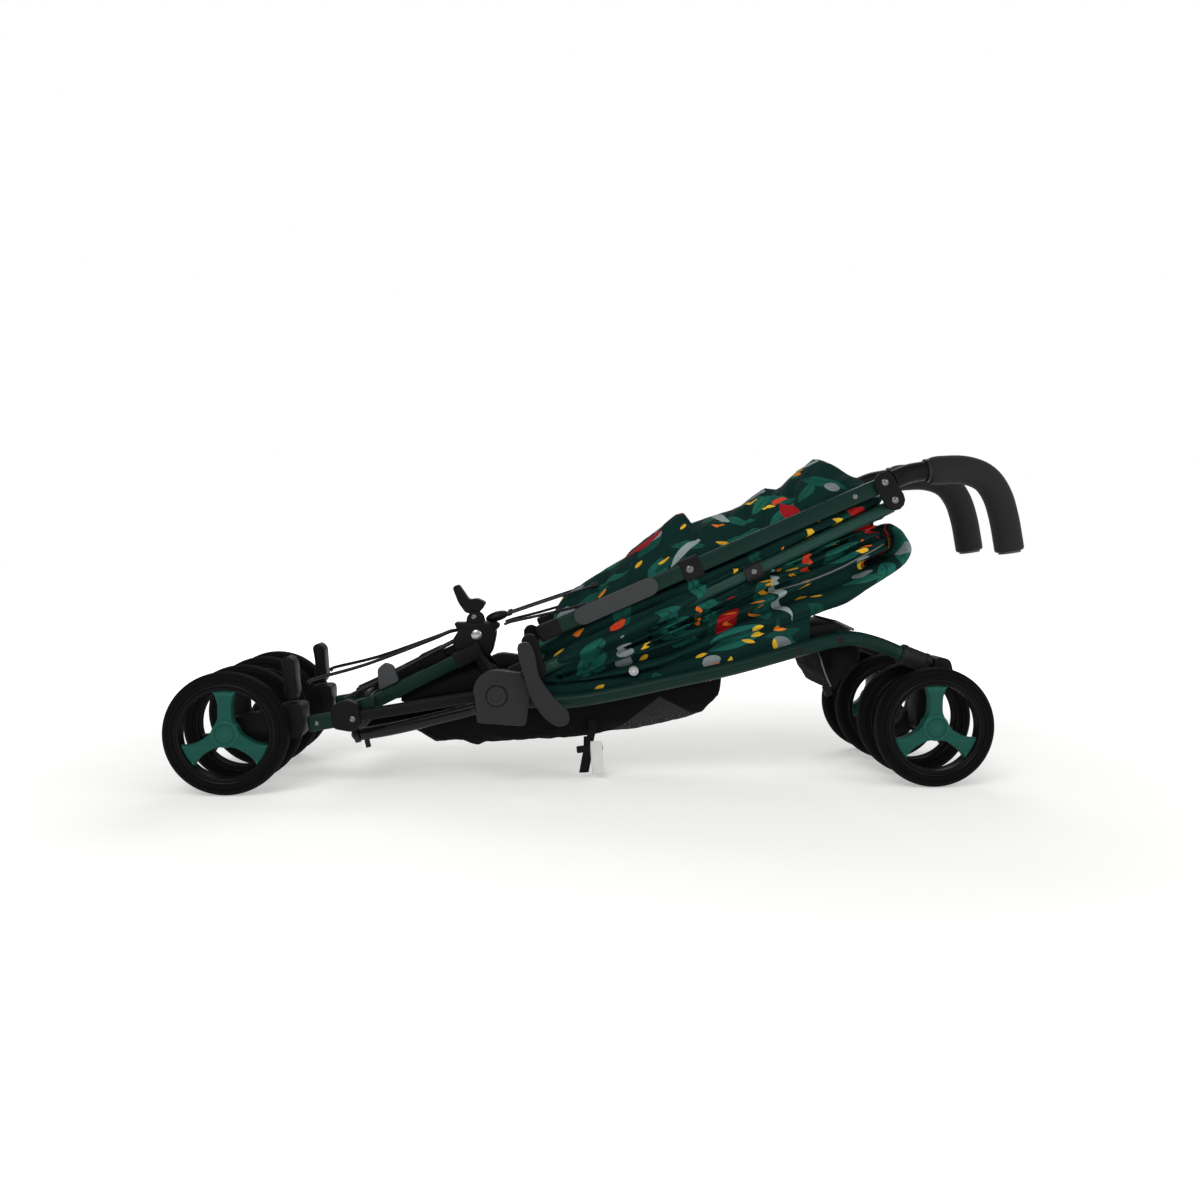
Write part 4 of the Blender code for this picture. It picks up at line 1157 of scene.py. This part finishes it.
calf_edge = {s_: [(x, on_cloth(calf, x, z, s_, 0.0003), z) for x, z in
                  [(0.3560 + 0.0150 * (i / 16) ** 1.6, 0.1640 - 0.0440 * i / 16) for i in range(17)]] for s_ in (-1, 1)}
for s_, n_ in ((-1, "left"), (1, "right")):
    tube("calf_piping_" + n_, calf_edge[s_], 0.0011, PIPING, "front_frame", 2, 4)


# --------------------------------------------------------- strap and label
def ribbon(name, line, width, t, m, y, seed, twist=0.0):
    pts = crom([(x, 0, z) for x, z in line], 10)
    bm = bmesh.new()
    rows = []
    for i, p in enumerate(pts):
        f = i / (len(pts) - 1)
        a = twist * f
        row = []
        for j in range(9):
            u = (-1 + 2 * j / 8) * width / 2
            yy = y + u * math.sin(a) + 0.0012 * nz(f * 4, j * 0.2, 0, seed) * min(1, f * 5) - 0.0014 * math.sin(f * 3.0)
            row.append(bm.verts.new((wx(p[0] + u * math.cos(a)), yy, p[2])))
        rows.append(row)
    for r0, r1 in zip(rows, rows[1:]):
        for j in range(8):
            bm.faces.new((r0[j], r0[j + 1], r1[j + 1], r1[j]))
    me = bpy.data.meshes.new(name)
    bm.to_mesh(me)
    bm.free()
    o = obj(name, me, m)
    o = thick(o, t)
    return o, sum((Vector(b) - Vector(a)).length for a, b in zip(pts, pts[1:]))


st, sl = ribbon("strap_web", [(0.0560, 0.0550), (0.0556, 0.0400), (0.0530, 0.0240), (0.0500, 0.0075)], 0.0125, 0.0014, WEB, -0.0560, 41, 0.18)
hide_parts("strap")
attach(st, "front_frame")
tg, tl = ribbon("tag_label", [(0.0660, 0.0490), (0.0662, 0.0360), (0.0674, 0.0200), (0.0690, 0.0060)], 0.0155, 0.0006, TAG, -0.0592, 42, -0.16)
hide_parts("care_tag")
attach(tg, "front_frame")

lp, ll = ribbon("strap_loop", [(0.0605, 0.0780), (0.0612, 0.0660), (0.0590, 0.0560), (0.0575, 0.0490)], 0.0102, 0.0010, WEB, -0.0576, 43, 0.05)
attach(lp, "front_frame")

# black cloth mass that fills the dark wedge between the cross tubes; it stands in for shade there (painted shade)
bm = bmesh.new()
slab(bm, [(-0.1880, 0.1020, 0.014, 0.046, 0.046), (-0.1650, 0.1090, 0.026, 0.045, 0.045), (-0.1400, 0.1150, 0.036, 0.041, 0.041),
          (-0.1150, 0.1190, 0.046, 0.036, 0.036), (-0.0900, 0.1240, 0.050, 0.033, 0.033), (-0.0620, 0.1230, 0.034, 0.032, 0.032)],
     35, flat=2.4, wave=0.0040)
shade_mass = finer(fused("brace_cloth", bm, CLOTHB, 0.0028))
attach(shade_mass, "rear_frame")

# edge piping and snap on the folded seat
for s_, n_ in ((-1, "left"), (1, "right")):
    tube("seat_piping_" + n_, seam[s_], 0.0011, PIPING, "pusher_frame", 2, 4)
    me = lathe("snap_" + n_, [(0.0, s_ * 0.0022), (0.0022, s_ * 0.0020), (0.0026, s_ * 0.0010), (0.0040, s_ * 0.0010),
                              (0.0046, s_ * 0.0020), (0.0060, s_ * 0.0018), (0.0066, s_ * 0.0006), (0.0068, s_ * -0.0030), (0.0, s_ * -0.0030)],
               36, STEEL, closed=False)
    o = obj("snap_" + n_, me, None)
    o.location = (wx(0.1130), snap_y[s_], 0.1428)
    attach(o, "pusher_frame")

SQ += [bpy.data.objects[n + side] for n in ("seat_piping_", "snap_") for side in ("left", "right")]
for o in SQ:
    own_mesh(o)

# ----------------------------------------------------------- small details
def block(name, pts, y0, y1, m, body, bevel=0.0015, r=0.003):
    """A small plate with an outline in XZ, riding on a body."""
    o = outline(name, [rounded(pts, r, 4)], y0, y1, m, bevel)
    o.location.x += S
    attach(o, body)
    return o


# fork that holds the fold pedal, bolts of the hub, arm and return knob
for s_, n_ in ((-1, "left"), (1, "right")):
    block("pedal_fork_" + n_, [(-0.1050, 0.1985), (-0.0800, 0.1985), (-0.0830, 0.2100), (-0.0905, 0.2160), (-0.0985, 0.2150), (-0.1035, 0.2090)],
          *sorted((s_ * 0.0134, s_ * 0.0180)), BLACK, "rear_frame", 0.0010)
    disc("fork_pin_" + n_, -0.0940, s_ * 0.0178, 0.2085, 0.0036, 0.0010, DSTEEL, "rear_frame", s_, 0.0008)
    disc("hub_bolt_" + n_, -0.0905, s_ * 0.0221, 0.1850, 0.0068, 0.0014, STEEL, "rear_frame", s_, 0.0010)
    disc("tube_bolt_" + n_, -0.0965, s_ * 0.0353, 0.1622, 0.0046, 0.0014, DSTEEL, "rear_frame", s_, 0.0008)
    # shoe round the cross tube's upper end
    u = bar("cross_shoe_" + n_, (-0.1180, s_ * 0.0368, 0.1516), (-0.0850, s_ * 0.0279, 0.1674), 0.0150, 0.0205, BLACK, "rear_frame", 0.0022)
    # stay from the hub down to the inner end of the main pin
    bar("hub_stay_" + n_, (-0.0900, s_ * 0.0260, 0.1620), (-0.0640, s_ * 0.0500, 0.1240), 0.0075, 0.0150, BLACK, "rear_frame", 0.0022)
    tube("stay_boss_" + n_, [(PX, s_ * 0.0455, PZ), (PX, s_ * 0.0545, PZ)], 0.0105, BLACK, "rear_frame", 1, 8)
    # thin pull rods from beside the knob to the pusher tubes
    tube("pull_rod_" + n_, [(-0.0455, s_ * 0.0262, 0.2140), (-0.0100, s_ * 0.0270, 0.2262), (0.0300, s_ * 0.0290, 0.2395),
                            (0.0660, s_ * 0.0330, 0.2512)], 0.0015, PAINTB, "pusher_frame", 3, 4)
    tube("pull_rod_low_" + n_, [(-0.0540, s_ * 0.0270, 0.1992), (-0.0440, s_ * 0.0275, 0.2030), (-0.0060, s_ * 0.0380, 0.2120), (0.0300, s_ * 0.0560, 0.2215),
                                (0.0560, s_ * 0.0700, 0.2290)], 0.0019, PAINTB, "pusher_frame", 3, 4)
    tube("rod_end_" + n_, [(0.0610, s_ * 0.0325, 0.2496), (0.0700, s_ * 0.0334, 0.2524)], 0.0038, BLACK, "pusher_frame", 1, 6)
    tube("rod_eye_" + n_, [(-0.0500, s_ * 0.0262, 0.2126), (-0.0440, s_ * 0.0262, 0.2146)], 0.0030, BLACK, "pusher_frame", 1, 6)
    # rods and bar from the hub back to the cross tubes' feet
    tube("stay_rod_" + n_, [(-0.2580, s_ * 0.0560, 0.1070), (-0.2100, s_ * 0.0400, 0.1300), (-0.1210, s_ * 0.0130, 0.1760)], 0.0024,
         PAINTB, "rear_frame", 4, 5)
    # bracket wrapped round the rear leg
    block("leg_bracket_" + n_, [(-0.2680, 0.1020), (-0.2470, 0.1110), (-0.2330, 0.1050), (-0.2300, 0.0800), (-0.2400, 0.0700), (-0.2640, 0.0745)],
          *sorted((s_ * 0.0785, s_ * 0.0990)), BLACK, "rear_frame", 0.0020, 0.005)
    disc("bracket_pin_" + n_, -0.2400, s_ * 0.0990, 0.0870, 0.0036, 0.0008, DSTEEL, "rear_frame", s_, 0.0006)
    tube("rail_peg_" + n_, [(-0.2300, s_ * 0.0572, 0.0560), (-0.2272, s_ * 0.0572, 0.0440)], 0.0034, BLACK, "rear_frame", 1, 6)
    tube("rail_plug_" + n_, [(-0.2385, s_ * 0.0572, 0.0600), (-0.2445, s_ * 0.0572, 0.0588)], 0.0096, SATIN, "rear_frame", 1, 8)
    # spacer between the round tube and the top link
    disc("link_spacer_" + n_, 0.4450, s_ * 0.0660, 0.3560, 0.0062, 0.0196, BLACK, "pusher_frame", s_, 0.0)
    # ring and knob of the front sleeve
    c = SW0 + SW * 0.0380 + Vector((0, s_ * TRACK, 0.0110))
    disc("swivel_button_" + n_, c.x, s_ * (TRACK + 0.0095), c.z - 0.0080, 0.0050, 0.0044, SATIN, "front_frame", s_, 0.0012)

for s_, n_ in ((-1, "left"), (1, "right")):
    # black sockets at the lower ends of the front leg, the round tube and the flat tube
    tube("leg_socket_" + n_, [(-0.0210, s_ * TRACK, 0.1080), (0.0090, s_ * TRACK, 0.1070)], 0.0106, BLACK, "front_frame", 1, 8)
    disc("leg_socket_pin_" + n_, -0.0080, s_ * 0.0986, 0.1030, 0.0022, 0.0008, STEEL, "front_frame", s_, 0.0004)
    o_ = Vector((PX, s_ * 0.0640, PZ))
    tube("pusher_socket_" + n_, [tuple(o_ + hd * 0.0130), tuple(o_ + hd * 0.0500)], 0.0104, BLACK, "pusher_frame", 1, 8)
    o_ = G0 + Vector((0, s_ * 0.0780, 0))
    bar("tube_shoe_" + n_, tuple(o_ + gd * 0.0190), tuple(o_ + gd * 0.0500), 0.0154, 0.0216, BLACK, "pusher_frame", 0.0030)

block("hub_arm", [(-0.1210, 0.2008), (-0.0620, 0.2002), (-0.0600, 0.1945), (-0.0740, 0.1860), (-0.1120, 0.1800)], -0.0150, 0.0150,
      BLACK, "rear_frame", 0.0018)
me = bpy.data.meshes.new("fold_knob")
bm = bmesh.new()
bmesh.ops.create_uvsphere(bm, u_segments=40, v_segments=24, radius=1.0,
                          matrix=Matrix.Rotation(math.radians(-16), 4, "Y") @ Matrix.Diagonal((0.0160, 0.0095, 0.0066, 1)))
bm.to_mesh(me)
bm.free()
me.shade_smooth()
kb = obj("fold_knob", me, SATIN)
kb.location = (wx(-0.0640), 0, 0.2086)
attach(kb, "rear_frame")
tube("knob_stem", [(-0.0700, 0, 0.1990), (-0.0660, 0, 0.2070)], 0.0042, BLACK, "rear_frame", 1, 6)
bar("stay_bar", (-0.2330, 0, 0.1130), (-0.1160, 0, 0.1680), 0.0220, 0.0100, BLACK, "rear_frame", 0.0020)
bar("latch_block", (-0.1650, 0, 0.1475), (-0.1340, 0, 0.1620), 0.0320, 0.0190, BLACK, "rear_frame", 0.0030)
bar("latch_foot", (-0.2070, 0, 0.1270), (-0.1860, 0, 0.1370), 0.0280, 0.0150, BLACK, "rear_frame", 0.0026)
tube("stay_axle", [(-0.2285, -0.0560, 0.1120), (-0.2285, 0.0560, 0.1120)], 0.0042, PAINTB, "rear_frame", 1, 7)
# pale roll at the front edge of the calf board, buckle on the strap
bar("calf_roll", (0.3800, 0, 0.2040), (0.4050, 0, 0.1925), 0.1180, 0.0038, PIPING, "front_frame", 0.0016)
bk_ = bar("strap_buckle", (0.0405, -0.0570, 0.0375), (0.0745, -0.0570, 0.0415), 0.0052, 0.0090, BLACK, "front_frame", 0.0016)
cb_ = bar("calf_buckle", (0.3640, -0.0690, 0.1215), (0.3700, -0.0690, 0.1080), 0.0060, 0.0100, BLACK, "front_frame", 0.0016)


# ------------------------------------------------------------------- stage
bm = bmesh.new()
bmesh.ops.create_grid(bm, x_segments=1, y_segments=1, size=14)
me = bpy.data.meshes.new("floor")
bm.to_mesh(me)
bm.free()
floor_k = Mat("floor_pale", 0.85, 0, 0.1)
floor_k.b.inputs["Emission Color"].default_value = (1.0, 1.0, 0.985, 1.0)
# the floor glows more with distance from the middle (0.40 up to 1.0): painted light that whitens the far floor, and
# painted shade that keeps the floor round the object darker
far = floor_k.node("ShaderNodeVectorMath", operation="LENGTH")
floor_k.link(floor_k.co, far.inputs[0])
glow = floor_k.node("ShaderNodeMapRange", interpolation_type="SMOOTHSTEP")
floor_k.link(far.outputs["Value"], glow.inputs[0])
glow.inputs[1].default_value, glow.inputs[2].default_value = 0.55, 1.7
glow.inputs[3].default_value, glow.inputs[4].default_value = 0.40, 1.0
floor_k.link(glow.outputs[0], floor_k.b.inputs["Emission Strength"])
floor = obj("floor", me, floor_k.done(floor_k.mix(floor_k.noise(3, 2), (0.80, 0.80, 0.79), (0.83, 0.83, 0.82))))
world = bpy.data.worlds.new("studio")
scene.world = world
world.use_nodes = True
wt = world.node_tree
wt.nodes["Background"].inputs["Color"].default_value = (1, 1, 1, 1)
ray = wt.nodes.new("ShaderNodeLightPath")
lift = wt.nodes.new("ShaderNodeMapRange")      # white behind, softer on the object
lift.inputs[3].default_value, lift.inputs[4].default_value = 0.30, 1.0
wt.links.new(ray.outputs["Is Camera Ray"], lift.inputs[0])
wt.links.new(lift.outputs[0], wt.nodes["Background"].inputs["Strength"])
scene.view_settings.view_transform = "Standard"


def area(name, loc, to, size, power):
    d = bpy.data.lights.new(name, "AREA")
    d.shape = "RECTANGLE"
    d.size, d.size_y = size
    d.energy = power
    o = bpy.data.objects.new(name, d)
    o.location = loc
    o.rotation_euler = (Vector(to) - Vector(loc)).to_track_quat("-Z", "Y").to_euler()
    scene.collection.objects.link(o)


area("key", (-0.9, -2.2, 2.2), (0, 0, 0.15), (1.6, 1.6), 36)
area("fill", (1.8, -1.6, 1.2), (0.1, 0, 0.2), (1.4, 1.4), 11)
area("back", (0.3, 2.2, 2.0), (0, 0, 0.2), (2.2, 1.0), 22)
